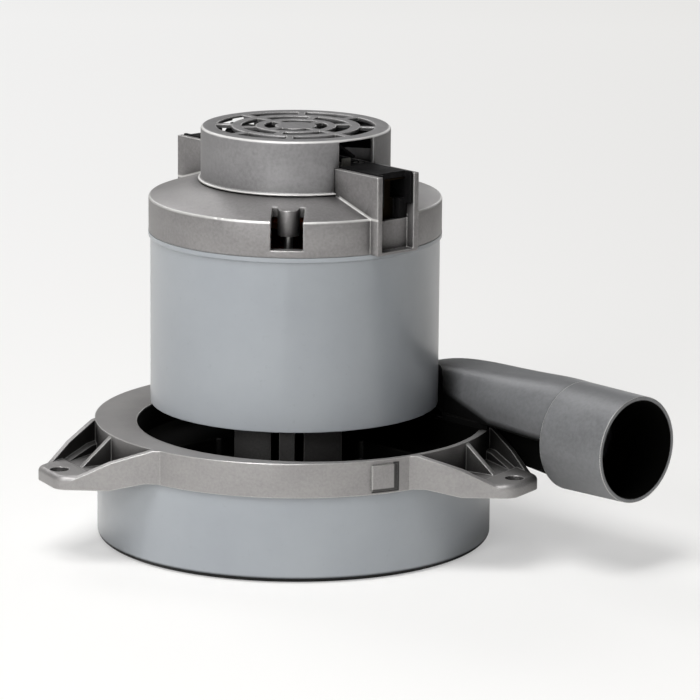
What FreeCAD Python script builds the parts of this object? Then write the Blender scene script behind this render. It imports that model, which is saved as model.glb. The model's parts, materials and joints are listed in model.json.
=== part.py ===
"""Tangential-discharge vacuum motor, fan end down, as separate named pieces.

Millimetres. Z is the shaft's axis and z = 0 is the face of the fan shell that the motor stands on.
An angle "from the front" is counted from -Y towards +X. What sits at such an angle is modelled at
the front, with its radius along -Y and its width along X, and is then turned about Z.
"""
import FreeCAD, Part
import math
import os
from FreeCAD import Vector

# Fan shell: a drawn steel cup, with the inlet eye in its floor
shell_radius = 91.5
shell_height = 39.5
shell_wall = 1.0
shell_corner = 3.0
eye_radius = 28.0
eye_lip = 4.0
bead_radius = 40.0
bead_width = 9.0
bead_rise = 1.2

# Fan end bracket: a cast ring over the shell, with an eccentric recess and a deck inside
ring_radius = 92.5
ring_height = 15.7
ring_wall = 4.2
roof_thickness = 2.5
spigot_depth = 5.0
spigot_wall = 2.5
spigot_fit = 0.2
deck_thickness = 3.5
recess_radius = 80.0
recess_offset = 10.5
recess_wall = 2.5
hub_radius = 25.5
hub_floor = 3.0
rib_thickness = 2.6
rib_drop = 4.0
pad_start = 25.3
pad_end = 33.1
pad_drop = 2.2
pad_proud = 0.8

# Mounting ears: three gusseted triangles, their pads on one bolt circle
ears = ((-60.0, -1), (60.0, 1), (180.0, 1))
bolt_circle_radius = 119.0
ear_hole_radius = 4.4
ear_drop = 3.3
ear_pad_thickness = 6.3
ear_end = 125.5
ear_corner = 7.0
ear_edge_round = 2.5
ear_root = 82.0
ear_side_distance = 74.5
ear_half_angle = 31.0
ear_floor = 5.4
ear_wall = 2.6
ear_pocket_gap = 9.5
ear_rib_offset = 2.8
ear_ledge = 4.2
ear_gusset = ((104.5, 12.8), (113.5, 7.8))
ear_run_out = 7.5

# Discharge horn: a cast neck that climbs off the ring and ends in a round cuff
horn_angle = 46.5
horn_distance = 60.0
horn_rise = 3.3
cuff_radius = 24.3
cuff_root_radius = 24.9
cuff_bore_radius = 22.2
cuff_start = 124.0
cuff_end = 160.5
horn_wall = 2.6
horn_flange = 2.8
motor_clearance = 2.3
horn_seat_near = -14.5
horn_seat_rear = 41.0
horn_port_rear = 23.0
horn_ear_relief = 4.0
horn_screw_places = ((7.0, 34.0), (18.0, 34.0))
horn_screw_radius = 1.9

# Motor shell: a painted steel tube round the field
motor_radius = 66.7
motor_wall = 1.2
motor_gap = 7.9
motor_height = 80.2
motor_bead = 0.9
motor_bead_height = 2.2

# Commutator bracket: a cast collar and conical roof on the motor shell
collar_radius = 67.5
collar_height = 16.3
collar_wall = 3.2
roof_rise = 7.4
neck_clearance = 0.4
neck_rise = 4.0
collar_spigot = 6.0
window_width = 14.6
window_rise = 3.4
window_radius = 53.2

# Brush blocks: two box shrouds across the collar
brush_angle = 43.5
block_half_width = 12.2
block_wall = 2.9
block_recess = 4.5
block_face = 71.3
brush_rise = 17.7
block_over_brush = 18.0
panel_under_brush = 3.0
holder_gap = 0.15
holder_proud = 0.6
holder_screw_radius = 1.3
holder_screw_place = 37.4
brush_play = 0.15
brush_width = 10.9
brush_thickness = 6.3
brush_length = 33.0
brush_gap = 0.08
tube_wall = 0.7
tube_outer_end = 62.0
terminal_thickness = 0.8
spring_turns = 6
spring_wire = 0.6
spring_radius = 2.3

# Vent cover: a round cap over the vent fan
cover_radius = 43.6
cover_wall = 1.8
cover_over_block = 13.0
cover_round = 1.6
cover_flange = 1.2
cover_notch_width = 20.4
cover_notch_top = 1.1
slot_rings = ((9.5, 14.5), (18.5, 25.0), (29.5, 36.5))
slot_counts = (4, 6, 8)
slot_rib = 3.2

# Rotor: shaft, fans, armature and commutator
shaft_fan_radius = 6.0
shaft_bearing_radius = 8.5
shaft_core_radius = 7.5
shaft_upper_radius = 4.0
shaft_recess = 1.0
fan_radius = 76.0
fan_plate = 0.8
fan_vane = 0.9
fan_eye_radius = 31.0
fan_vanes = 8
fan_floor_gap = 4.0
fan_deck_gap = 1.6
running_gap = 1.2
guide_height = 8.5
guide_plate = 1.0
guide_vanes = 10
guide_plate_radius = 80.0
guide_eye_radius = 24.0
spacer_radius = 9.0
washer_radius = 15.0
washer_thickness = 1.2
nut_across_flats = 19.0
nut_height = 6.5
armature_radius = 27.0
armature_slots = 12
core_length = 40.0
core_over_shell_end = 20.9
commutator_radius = 17.0
commutator_length = 23.5
commutator_under_brush = 14.0
commutator_bars = 22
bar_gap = 0.6
bar_gap_depth = 1.2
riser_radius = 19.5
riser_height = 3.0

# Field: a laminated two-pole core, two coils and the bolts that clamp it
air_gap = 0.6
field_radius = 54.0
field_flat = 49.0
slot_inner_radius = 30.0
slot_outer_radius = 44.0
slot_angle = 25.0
coil_margin = 0.5
coil_rise = 8.0
pole_half_angle = 40.0
bolt_radius = 53.0
through_bolt_radius = 2.1
bolt_hole_gap = 0.15
bolt_head_radius = 4.0
post_width = 7.0
wing_start = 8.0
wing_end = 27.0
wing_thickness = 3.6
boss_radius = 5.0
boss_rise = 7.7

# Bearings: bore radius, outside radius, width, ball radius
lower_bearing = (8.5, 20.0, 12.0, 3.3)
lower_ball_count = 8
upper_bearing = (4.0, 11.0, 7.0, 1.9)
upper_ball_count = 7
bearing_play = 0.05
shield_thickness = 0.4
retainer_thickness = 1.5
upper_hub_radius = 15.0
wave_washer_thickness = 0.5

# Vent fan
vent_hub_radius = 11.0
vent_fan_clearance = 3.3
vent_fan_over_block = 3.2
vent_fan_height = 6.8
vent_blades = 9
vent_blade_thickness = 1.4
vent_blade_pitch = 36.0

fit = 0.02
far = 400.0

# Heights worked out from the driving dimensions, from the fan shell up
deck_top = shell_height + deck_thickness
ring_top = shell_height + ring_height
ear_low = shell_height - ear_drop
horn_height = ring_top + horn_rise
bearing_low = deck_top + hub_floor
bearing_high = bearing_low + lower_bearing[2]
lower_fan_low = shell_wall + fan_floor_gap
fan_height = (shell_height - lower_fan_low - guide_height - 2 * running_gap - fan_deck_gap) / 2
guide_low = lower_fan_low + fan_height + running_gap
upper_fan_low = guide_low + guide_height + running_gap
shaft_low = lower_fan_low + shaft_recess
motor_low = ring_top + motor_gap
core_low = motor_low + core_over_shell_end
core_high = core_low + core_length
collar_low = motor_low + motor_height
collar_high = collar_low + collar_height
roof_top = collar_high + roof_rise
roof_edge = cover_radius - 0.5
neck_radius = cover_radius - cover_wall - neck_clearance
vent_fan_radius = cover_radius - cover_wall - vent_fan_clearance
window_low = collar_low + window_rise
boss_low = collar_low + boss_rise
block_floor = collar_low + 1.2
brush_height = collar_low + brush_rise
block_panel_top = brush_height - panel_under_brush
block_top = brush_height + block_over_brush
cover_top = block_top + cover_over_block
commutator_low = brush_height - commutator_under_brush
commutator_high = commutator_low + commutator_length
hub_low = commutator_high + running_gap
upper_bearing_high = block_top + 1.5
upper_bearing_low = upper_bearing_high - upper_bearing[2]
vent_fan_low = block_top + vent_fan_over_block
vent_fan_high = vent_fan_low + vent_fan_height


def disc(radius, low, high, x=0.0, y=0.0):
    """A plain cylinder on a line parallel to Z."""
    return Part.makeCylinder(radius, high - low, Vector(x, y, low))


def ring(outer, inner, low, high):
    """A tube round the Z axis."""
    return disc(outer, low, high).cut(disc(inner, low - 1, high + 1))


def box(x_low, x_high, y_low, y_high, low, high):
    """A block between two corners."""
    return Part.makeBox(x_high - x_low, y_high - y_low, high - low, Vector(x_low, y_low, low))


def turned(shape, angle):
    """A copy turned about the Z axis."""
    copy = shape.copy()
    copy.rotate(Vector(0, 0, 0), Vector(0, 0, 1), angle)
    return copy


def around(shape, count, start=0.0):
    """Copies spread evenly round the Z axis."""
    return [turned(shape, start + 360.0 * n / count) for n in range(count)]


def join(shapes):
    """One solid from shapes that touch or cross."""
    whole = shapes[0]
    for shape in shapes[1:]:
        whole = whole.fuse(shape)
    return whole


def group(shapes):
    """Separate solids that share one node."""
    return Part.makeCompound(shapes)


def at(radius, angle):
    """A point on a plan circle, its angle counted from the front."""
    turn = math.radians(angle)
    return Vector(radius * math.sin(turn), -radius * math.cos(turn), 0)


def revolved(points):
    """A full turn about Z of a closed outline of (radius, height) points.

    A point may carry a third value, the radius of the round at that corner.
    """
    corners = [Vector(p[0], 0, p[1]) for p in points]
    rounds = [p[2] if len(p) > 2 else 0.0 for p in points]
    return Part.Face(rounded_wire(corners, rounds)).revolve(Vector(0, 0, 0), Vector(0, 0, 1), 360)


def rounded_wire(corners, rounds):
    """A closed wire of lines through the corners, with a tangent arc at each corner that has a round."""
    starts, ends, arcs = [], [], []
    count = len(corners)
    for n, corner in enumerate(corners):
        back = (corners[n - 1] - corner).normalize()
        ahead = (corners[(n + 1) % count] - corner).normalize()
        if rounds[n] <= 0:
            starts.append(corner)
            ends.append(corner)
            arcs.append(None)
            continue
        half = back.getAngle(ahead) / 2
        reach = rounds[n] / math.tan(half)
        middle = (back + ahead).normalize()
        depth = rounds[n] / math.sin(half) - rounds[n]
        starts.append(corner + back * reach)
        ends.append(corner + ahead * reach)
        arcs.append(corner + middle * depth)
    edges = []
    for n in range(count):
        if arcs[n] is not None:
            edges.append(Part.Arc(starts[n], arcs[n], ends[n]).toShape())
        following = starts[(n + 1) % count]
        if (following - ends[n]).Length > 1e-6:
            edges.append(Part.LineSegment(ends[n], following).toShape())
    return Part.Wire(edges)


def sector(outer, inner, start, end, low, high):
    """A piece of a tube between two angles from the front."""
    middle = (start + end) / 2
    edges = [
        Part.Arc(at(outer, start), at(outer, middle), at(outer, end)).toShape(),
        Part.LineSegment(at(outer, end), at(inner, end)).toShape(),
        Part.Arc(at(inner, end), at(inner, middle), at(inner, start)).toShape(),
        Part.LineSegment(at(inner, start), at(outer, start)).toShape(),
    ]
    shape = Part.Face(Part.Wire(edges)).extrude(Vector(0, 0, high - low))
    shape.translate(Vector(0, 0, low))
    return shape


def vane(inner, outer, arc_radius, arc_distance, thickness, low, high):
    """One curved vane between two radii, its arc struck from a point off the axis."""
    def turn_at(radius):
        share = (radius ** 2 + arc_distance ** 2 - arc_radius ** 2) / (2 * radius * arc_distance)
        angle = math.acos(share)
        return math.atan2(radius * math.sin(angle), radius * math.cos(angle) - arc_distance)

    first, last = turn_at(outer), turn_at(inner)
    middle = (first + last) / 2

    def on_arc(radius, turn):
        return Vector(arc_distance + radius * math.cos(turn), -radius * math.sin(turn), low)

    far_side, near_side = arc_radius + thickness / 2, arc_radius - thickness / 2
    edges = [
        Part.Arc(on_arc(far_side, first), on_arc(far_side, middle), on_arc(far_side, last)).toShape(),
        Part.LineSegment(on_arc(far_side, last), on_arc(near_side, last)).toShape(),
        Part.Arc(on_arc(near_side, last), on_arc(near_side, middle), on_arc(near_side, first)).toShape(),
        Part.LineSegment(on_arc(near_side, first), on_arc(far_side, first)).toShape(),
    ]
    return Part.Face(Part.Wire(edges)).extrude(Vector(0, 0, high - low))


# Fan end

def fan_shell():
    floor = shell_wall
    bead_in, bead_out = bead_radius - bead_width / 2, bead_radius + bead_width / 2
    return revolved([
        (shell_radius, shell_height),
        (shell_radius, 0, shell_corner),
        (bead_out, 0),
        (bead_out - bead_rise, bead_rise),
        (bead_in + bead_rise, bead_rise),
        (bead_in, 0),
        (eye_radius, 0),
        (eye_radius, eye_lip),
        (eye_radius + shell_wall, eye_lip),
        (eye_radius + shell_wall, floor),
        (bead_in - 0.4, floor),
        (bead_in + bead_rise - 0.4, floor + bead_rise),
        (bead_out - bead_rise + 0.4, floor + bead_rise),
        (bead_out + 0.4, floor),
        (shell_radius - shell_wall, floor, shell_corner - shell_wall),
        (shell_radius - shell_wall, shell_height),
    ])


def impeller(low, eye):
    """A closed fan: a front plate with the eye, a back plate with the hub hole, vanes between."""
    high = low + fan_height
    front = ring(fan_radius, eye, low, low + fan_plate)
    back = ring(fan_radius, shaft_fan_radius + fit, high - fan_plate, high)
    one = vane(eye + 1, fan_radius - 0.5, 48, 52, fan_vane, low + fan_plate / 2, high - fan_plate / 2)
    return join([front, back] + around(one, fan_vanes))


def stationary_fan():
    """The guide disc: a lower plate, return vanes, an upper plate with an eye, and a rim on the shell floor."""
    high = guide_low + guide_height
    rim_radius = shell_radius - shell_wall - spigot_fit
    lower = ring(guide_plate_radius, spacer_radius + running_gap, guide_low, guide_low + guide_plate)
    upper = ring(rim_radius, guide_eye_radius, high - guide_plate, high)
    rim = ring(rim_radius, rim_radius - 1.4, shell_wall, high).cut(
        ring(rim_radius + 1, rim_radius - shell_corner, 0, shell_corner))
    one = vane(guide_eye_radius + 3, guide_plate_radius - 1, 60, 58, 1.2,
               guide_low + guide_plate / 2, high - guide_plate / 2)
    mirrored = one.mirror(Vector(0, 0, 0), Vector(0, 1, 0))
    return join([lower, upper, rim] + around(mirrored, guide_vanes))


def recess_circle(radius, low, high):
    """A cylinder on the recess's own axis, which lies off the shaft towards the horn."""
    centre = at(recess_offset, horn_angle)
    return disc(radius, low, high, centre.x, centre.y)


def slab(points):
    """A prism across X from an outline of (distance towards the front, height) points."""
    corners = [Vector(-far, -reach, height) for reach, height in points]
    return Part.Face(Part.makePolygon(corners + corners[:1])).extrude(Vector(2 * far, 0, 0))


def ear_plan(inset, low, high):
    """A prism of the ear's outline in plan, drawn in by an inset: a triangle with a blunt end."""
    slant = math.radians(ear_half_angle)
    side, end = ear_side_distance - inset, ear_end - inset

    def half_width(reach):
        return (side - reach * math.sin(slant)) / math.cos(slant)

    corners = [
        Vector(half_width(ear_root), -ear_root, low),
        Vector(half_width(end), -end, low),
        Vector(-half_width(end), -end, low),
        Vector(-half_width(ear_root), -ear_root, low),
    ]
    corner = ear_corner - 0.5 * inset
    return Part.Face(rounded_wire(corners, [0, corner, corner, 0])).extrude(Vector(0, 0, high - low))


def ear(hand):
    """One mounting ear at the front; its rib and ledge lie on the side that the hand names."""
    pad_top = ear_low + ear_pad_thickness
    pocket_end = bolt_circle_radius - ear_pocket_gap
    plate = ear_plan(0.0, ear_low, pad_top)
    rims = [edge for edge in plate.Edges
            if edge.BoundBox.ZMin > pad_top - 0.1 and edge.BoundBox.YMin < -ear_root - 0.1]
    plate = plate.makeFillet(ear_edge_round, rims)
    walls = ear_plan(0.0, pad_top - ear_edge_round, ring_top).cut(ear_plan(ear_wall, 0, far))
    lane = box(hand * ear_rib_offset - ear_wall / 2, hand * ear_rib_offset + ear_wall / 2,
               -pocket_end, -ear_root, ear_low + 1, ring_top)
    rib = lane.cut(slab([(ring_radius - 1, ring_top), (pocket_end, pad_top - 3), (pocket_end, far), (0, far)]))
    side = box(0, far, -pocket_end, -ear_root, 0, far)
    if hand < 0:
        side = box(-far, 0, -pocket_end, -ear_root, 0, far)
    ledge = ear_plan(ear_wall / 2, ear_low + 1, ring_top).cut(ear_plan(ear_wall + ear_ledge, 0, far))
    ledge = ledge.common(side).cut(slab([(0, pad_top + 3), (ring_radius, pad_top + 3), (pocket_end, pad_top - 1),
                                         (pocket_end, far), (0, far)]))
    gusset = [(reach, ear_low + rise) for reach, rise in ear_gusset]
    outside = [(ring_radius - 4.5, ring_top)] + gusset + [
        (gusset[-1][0] + ear_run_out, pad_top - ear_edge_round), (far, pad_top - ear_edge_round), (far, far),
        (ring_radius - 4.5, far)]
    walls = walls.cut(slab(outside))
    pocket = ear_plan(ear_wall, ear_low + ear_floor, far).common(slab([
        (0, 0), (pocket_end, 0), (pocket_end, far), (0, far)]))
    body = join([plate.cut(pocket), walls, rib, ledge])
    underside = [(ear_root - 5, shell_height + 0.3), (ring_radius - 1, shell_height + 0.3),
                 (pocket_end - 4, ear_low), (pocket_end - 4, 0), (ear_root - 5, 0)]
    hole = disc(ear_hole_radius, 0, far, 0, -bolt_circle_radius)
    return body.cut(slab(underside)).cut(hole)


def horn_seat(inset, rear, low, high):
    """The raised seat that carries the horn on the ring, drawn in by an inset, in the horn's own plan frame."""
    near = horn_distance + horn_seat_near + inset
    return box(near, far, -far, rear, low, high).common(disc(ring_radius - inset, low, high))


def pedestal():
    """At the front: the post round a through bolt, with a wing each side, from deck to field core."""
    post = box(-post_width / 2, post_width / 2, -bolt_radius - 4.5, -bolt_radius + 4.5, shell_height, core_low)
    wings = [sector(field_radius - 0.2, field_radius - wing_thickness, side * wing_start, side * wing_end,
                    shell_height + 1, core_low) for side in (-1, 1)]
    return [post] + wings


def countersunk_bolt_space(radius, head_radius, low, high):
    """The room of a countersunk bolt whose flat head faces down."""
    head = Part.makeCone(head_radius, radius, head_radius - radius, Vector(0, -bolt_radius, low))
    return join([disc(radius, low, high, 0, -bolt_radius), head])


def fan_end_bracket():
    body = disc(ring_radius, shell_height, ring_top)
    seat = turned(horn_seat(0.0, horn_seat_rear, 0, far), horn_angle)
    recess = recess_circle(recess_radius, deck_top, far).cut(seat)
    channel_outer = ring_radius - ring_wall
    channel = disc(channel_outer, 0, ring_top - roof_thickness).cut(
        recess_circle(recess_radius + recess_wall, -1, far))
    port = turned(horn_seat(ring_wall, horn_port_rear, 0, far), horn_angle)
    body = body.cut(recess).cut(channel).cut(port)
    spigot_radius = shell_radius - shell_wall - spigot_fit
    spigot = ring(spigot_radius, spigot_radius - spigot_wall, shell_height - spigot_depth, shell_height + 1)
    hub = disc(hub_radius, shell_height, bearing_high)
    ribs = []
    for angle in (-47.0, 47.0, 133.0, -133.0):
        rib = box(-rib_thickness / 2, rib_thickness / 2, -recess_radius, -hub_radius + 2, shell_height,
                  ring_top - rib_drop)
        ribs.append(turned(rib, angle).common(recess_circle(recess_radius + 1, 0, far)))
    feet = pedestal() + [turned(foot, 180) for foot in pedestal()]
    pad = sector(ring_radius + pad_proud, ring_radius - 2, pad_start, pad_end, shell_height + 1.6,
                 ring_top - pad_drop)
    outline = disc(ring_radius - 1, 0, far)
    lugs = [turned(ear(hand).cut(outline), angle) for angle, hand in ears]
    body = join([body, spigot, hub] + ribs + feet + lugs + [pad])
    body = body.cut(disc(lower_bearing[1] + fit, bearing_low, far))
    body = body.cut(disc(spacer_radius + running_gap, 0, far))
    body = body.cut(disc(seal_radius() + fit, bearing_low - 2.4, bearing_low))
    for hole in around(countersunk_bolt_space(through_bolt_radius + bolt_hole_gap, bolt_head_radius + 0.1,
                                              shell_height, core_low + 1), 2):
        body = body.cut(hole)
    for x, y in horn_screw_centres():
        body = body.cut(turned(disc(horn_screw_radius + fit, ring_top - 8, far, x, y), horn_angle))
    for screw in retainer_screw_bodies():
        body = body.cut(screw)
    return body


def seal_radius():
    """The outside radius of the shaft seal."""
    return spacer_radius + running_gap + 3.5


def shaft_seal():
    return ring(seal_radius(), spacer_radius + 0.4, bearing_low - 2.4, bearing_low - 0.2)


# Discharge horn

def horn_section(place, near, wide_end, low, high, corner):
    """A rounded section of the neck, square to the horn's axis, in the horn's own plan frame."""
    x_low, x_high = horn_distance + near, horn_distance + wide_end
    corners = [Vector(x_low, -place, low), Vector(x_high, -place, low),
               Vector(x_high, -place, high), Vector(x_low, -place, high)]
    return rounded_wire(corners, [corner] * 4)


def neck(inset, end_extra):
    """The neck from its start behind the motor shell to the cuff, drawn in by a wall.

    Each section has its share of the way to the cuff, then its sides, floor, roof and corner round, all four
    counted from the horn's axis.
    """
    sections = [
        (-0.21, -2.0, 30.0, -14.5, -1.5, 3.4),
        (0.0, -6.0, 28.5, -14.5, 8.5, 6.0),
        (0.225, -10.0, 27.0, -15.0, 17.1, 10.0),
        (0.485, -13.0, 26.0, -16.5, 20.5, 13.0),
        (0.76, -17.0, 24.5, -19.0, 22.7, 17.0),
        (1.015, -20.5, 23.6, -22.1, 23.9, 21.0),
    ]
    wires = []
    for n, (share, near, wide_end, floor, roof, corner) in enumerate(sections):
        place = share * cuff_start
        if n == 0:
            place += inset
        if n == len(sections) - 1:
            place += end_extra
        wires.append(horn_section(place, near + inset, wide_end - inset, horn_height + floor + inset,
                                  horn_height + roof - inset, corner - 0.9 * inset))
    return Part.makeLoft(wires, True, False)


def horn_axis_cylinder(radius_low, radius_high, start, end):
    """A cylinder or cone on the horn's axis."""
    base = Vector(horn_distance, -start, horn_height)
    if radius_low == radius_high:
        return Part.makeCylinder(radius_low, end - start, base, Vector(0, -1, 0))
    return Part.makeCone(radius_low, radius_high, end - start, base, Vector(0, -1, 0))


def ear_room(margin, high):
    """The room round the ear beside the horn, in the horn's own plan frame."""
    return turned(ear_plan(-margin, 0, high), ears[1][0] - horn_angle)


def discharge_horn():
    motor_room = motor_radius + motor_clearance
    relief_top = ring_top + horn_flange
    outer = neck(0.0, 0.0).cut(ear_room(horn_ear_relief, relief_top))
    outer = join([outer, horn_axis_cylinder(cuff_root_radius, cuff_radius, cuff_start, cuff_end)])
    outer = outer.cut(disc(motor_room, 0, far))
    flange = horn_seat(0.0, horn_seat_rear, ring_top, relief_top).cut(disc(motor_room, 0, far))
    inner = neck(horn_wall, 1.0).cut(ear_room(horn_ear_relief + horn_wall, relief_top + horn_wall))
    inner = join([inner, horn_axis_cylinder(cuff_bore_radius, cuff_bore_radius, cuff_start + horn_wall,
                                            cuff_end + 1)])
    inner = inner.cut(disc(motor_room + horn_wall, 0, far))
    body = join([outer, flange]).cut(inner).cut(disc(ring_radius + 0.3, 0, ring_top))
    for x, y in horn_screw_centres():
        body = body.cut(disc(horn_screw_radius + 0.2, 0, far, x, y))
    return turned(body, horn_angle)


def horn_screw_centres():
    return [(horn_distance + across, along) for across, along in horn_screw_places]


def horn_screws():
    screws = []
    for x, y in horn_screw_centres():
        shank = disc(horn_screw_radius, ring_top - 7.5, ring_top + horn_flange, x, y)
        head = disc(3.6, ring_top + horn_flange, ring_top + horn_flange + 2.4, x, y)
        slot = box(x - 0.6, x + 0.6, y - far, y + far, ring_top + horn_flange + 1.2, far)
        screws.append(turned(join([shank, head]).cut(slot), horn_angle))
    return group(screws)


# Motor shell and commutator bracket

def motor_shell():
    return revolved([
        (motor_radius, motor_low, 0.4),
        (motor_radius, collar_low - motor_bead_height, 0.5),
        (motor_radius + motor_bead, collar_low - motor_bead_height, 0.5),
        (motor_radius + motor_bead, collar_low),
        (motor_radius - motor_wall, collar_low),
        (motor_radius - motor_wall, motor_low, 0.4),
    ])


def roof_height(radius):
    """Height of the conical roof's outside at a radius."""
    return collar_high + (collar_radius - radius) * (roof_top - collar_high) / (collar_radius - cover_radius)


def commutator_bracket():
    spigot_radius = motor_radius - motor_wall - spigot_fit
    inner_radius = spigot_radius - collar_wall
    roof_under = 3.0
    collar = revolved([
        (spigot_radius, collar_low - collar_spigot),
        (spigot_radius, collar_low),
        (collar_radius, collar_low),
        (collar_radius, collar_high, 1.2),
        (roof_edge, roof_height(roof_edge)),
        (neck_radius, roof_height(roof_edge)),
        (neck_radius, roof_top + neck_rise),
        (neck_radius - 2.4, roof_top + neck_rise),
        (neck_radius - 2.4, roof_top - roof_under - 0.6),
        (inner_radius, collar_high - roof_under),
        (inner_radius, collar_low - collar_spigot),
    ])
    half = block_half_width
    inside = half - block_wall
    walls, hollows = [], []
    for angle in (brush_angle, brush_angle + 180):
        shroud = box(-half, half, -block_face, -neck_radius + 1, collar_low, block_top)
        bridge = box(-half, half, -neck_radius, -upper_hub_radius + 6, hub_low, block_top)
        walls += [turned(shroud, angle), turned(bridge, angle)]
        panel_back = block_face - block_recess - 2.4
        hollow = box(-inside, inside, -far, -neck_radius, block_panel_top, far).fuse(
            box(-inside, inside, -far, -block_face + block_recess, block_floor, far)).fuse(
            box(-inside, inside, -panel_back, -neck_radius + 1.5, block_floor + 1.6, far)).fuse(
            box(-inside, inside, -neck_radius - 1, -upper_hub_radius - 4.0, block_floor - 3, far))
        hollows.append(turned(hollow, angle))
    hub = disc(upper_hub_radius, hub_low, upper_bearing_high)
    legs = []
    for half_turn in (0, 180):
        boss = disc(boss_radius, boss_low, roof_height(bolt_radius) - 1.0, 0, -bolt_radius)
        legs.append(turned(boss, half_turn))
        for side in (-1, 1):
            leg = sector(field_radius - 0.2, field_radius - wing_thickness, side * (wing_start + 2),
                         side * wing_end, core_high, roof_height(field_radius) - 1.0)
            legs.append(turned(leg, half_turn))
    windows = []
    for half_turn in (0, 180):
        window = box(-window_width / 2, window_width / 2, -far, -window_radius, window_low, far)
        boss = disc(boss_radius, boss_low, far, 0, -bolt_radius)
        windows.append(turned(window.cut(boss), half_turn))
    body = join([collar, hub] + walls + legs)
    for room in hollows + windows:
        body = body.cut(room)
    body = body.cut(disc(upper_bearing[1] + fit, upper_bearing_low - wave_washer_thickness, far))
    body = body.cut(disc(shaft_upper_radius + 2.5, 0, far))
    for hole in around(disc(through_bolt_radius + fit, 0, boss_low + 9, 0, -bolt_radius), 2):
        body = body.cut(hole)
    for screw in holder_screw_bodies():
        body = body.cut(screw)
    return body.removeSplitter()


def through_bolts():
    space = countersunk_bolt_space(through_bolt_radius, bolt_head_radius, shell_height, boss_low + 8.5)
    slot = box(-0.5, 0.5, -far, far, shell_height - 1, shell_height + 1.0)
    return group(around(space.cut(slot), 2))


def vent_cover():
    top_under = cover_top - cover_wall
    rim_low = roof_height(roof_edge) + 0.05
    body = revolved([
        (0, cover_top),
        (cover_radius, cover_top, cover_round),
        (cover_radius, roof_top + cover_flange),
        (cover_radius + cover_flange, roof_top + cover_flange - 0.3),
        (cover_radius + cover_flange, rim_low),
        (cover_radius - cover_wall, rim_low),
        (cover_radius - cover_wall, top_under, 0.8),
        (0, top_under),
    ])
    for (inner, outer), count in zip(slot_rings, slot_counts):
        rib_angle = math.degrees(slot_rib / ((inner + outer) / 2))
        pitch = 360.0 / count
        slot = sector(outer, inner, rib_angle / 2, pitch - rib_angle / 2, top_under - 1, cover_top + 1)
        for cutter in around(slot, count, brush_angle):
            body = body.cut(cutter)
    for angle in (brush_angle, brush_angle + 180):
        half = cover_notch_width / 2
        notch = box(-half, half, -far, -cover_radius + 8, roof_top - 5, cover_top - cover_notch_top)
        block = box(-block_half_width - holder_gap, block_half_width + holder_gap, -far, -cover_radius + 8,
                    roof_top - 5, block_top + holder_gap)
        body = body.cut(turned(notch, angle)).cut(turned(block, angle))
    return body.removeSplitter()


# Brush gear, each piece modelled at the front

def holder_low():
    """Underside of the holder's foot, just above the block's floor."""
    return block_floor + 1.6 + holder_gap


def holder_half():
    return block_half_width - block_wall - holder_gap


def brush_holder():
    half = holder_half()
    outer_end = block_face - block_recess
    foot_end = outer_end - 2.4 - holder_gap
    top = block_top + holder_proud
    inner_end = upper_hub_radius + 5.5
    tube_half = (brush_thickness / 2 + brush_play + tube_wall, brush_width / 2 + brush_play + tube_wall)
    body = box(-half, half, -outer_end, -inner_end, block_panel_top + holder_gap, top)
    arm = box(-half, half, -foot_end, -inner_end, brush_height - tube_half[1] - 2.2, top)
    foot = box(-half, half, -foot_end, -neck_radius, holder_low(), top)
    body = join([body, arm, foot])
    for side in (-1, 1):
        cheek = box(-0.7, 0.7, -block_face + 0.8, -outer_end + 1, brush_height + 4.0, top)
        cheek.translate(Vector(side * (half - 0.7), 0, 0))
        body = body.fuse(cheek)
    body = body.cut(box(-tube_half[0] - 0.05, tube_half[0] + 0.05, -far, 0,
                        brush_height - tube_half[1] - 0.05, brush_height + tube_half[1] + 0.05))
    body = body.cut(box(-half + 1.4, half - 1.4, -far, -outer_end + 18, brush_height + tube_half[1], top - 2.6))
    body = body.cut(box(-half + 1.4, half - 4.7, -far, -tube_outer_end - 1.0, block_panel_top + 0.6,
                        brush_height + 8.0))
    offset = holder_screw_offset()
    body = body.cut(disc(holder_screw_radius + 0.2, 0, far, offset, -holder_screw_place))
    body = body.cut(disc(3.1, top - 1.6, far, offset, -holder_screw_place))
    return body


def holder_screw_offset():
    return holder_half() - 3.6


def holder_screw_bodies():
    """One screw down each holder into the bridge beside it."""
    head_low = block_top + holder_proud - 1.6
    screws = []
    for angle in (brush_angle, brush_angle + 180):
        shank = disc(holder_screw_radius, head_low - 22.0, head_low, holder_screw_offset(), -holder_screw_place)
        head = disc(2.8, head_low, head_low + 1.4, holder_screw_offset(), -holder_screw_place)
        screws.append(turned(join([shank, head]), angle))
    return screws


def brush_tube():
    wide, high = brush_thickness / 2 + brush_play, brush_width / 2 + brush_play
    outer = box(-wide - tube_wall, wide + tube_wall, -tube_outer_end, -commutator_radius - 2.0,
                brush_height - high - tube_wall, brush_height + high + tube_wall)
    return outer.cut(box(-wide, wide, -far, far, brush_height - high, brush_height + high))


def brush_end():
    """Radius of the brush's outer end at rest."""
    return commutator_radius + brush_gap + brush_length


def carbon_brush():
    body = box(-brush_thickness / 2, brush_thickness / 2, -brush_end(), -commutator_radius + 2,
               brush_height - brush_width / 2, brush_height + brush_width / 2)
    return body.cut(disc(commutator_radius + brush_gap, 0, far))


def biarc(start, start_way, end, end_way):
    """Two tangent arcs from one point and direction to another."""
    chord = end - start
    both = start_way + end_way
    spread = 2 * (1 - start_way.dot(end_way))
    reach = (-chord.dot(both) + math.sqrt(chord.dot(both) ** 2 + spread * chord.dot(chord))) / spread
    first, last = start + start_way * reach, end - end_way * reach
    middle = (first + last) * 0.5
    return [tangent_arc(start, first, middle), tangent_arc(middle, last, end)]


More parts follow.
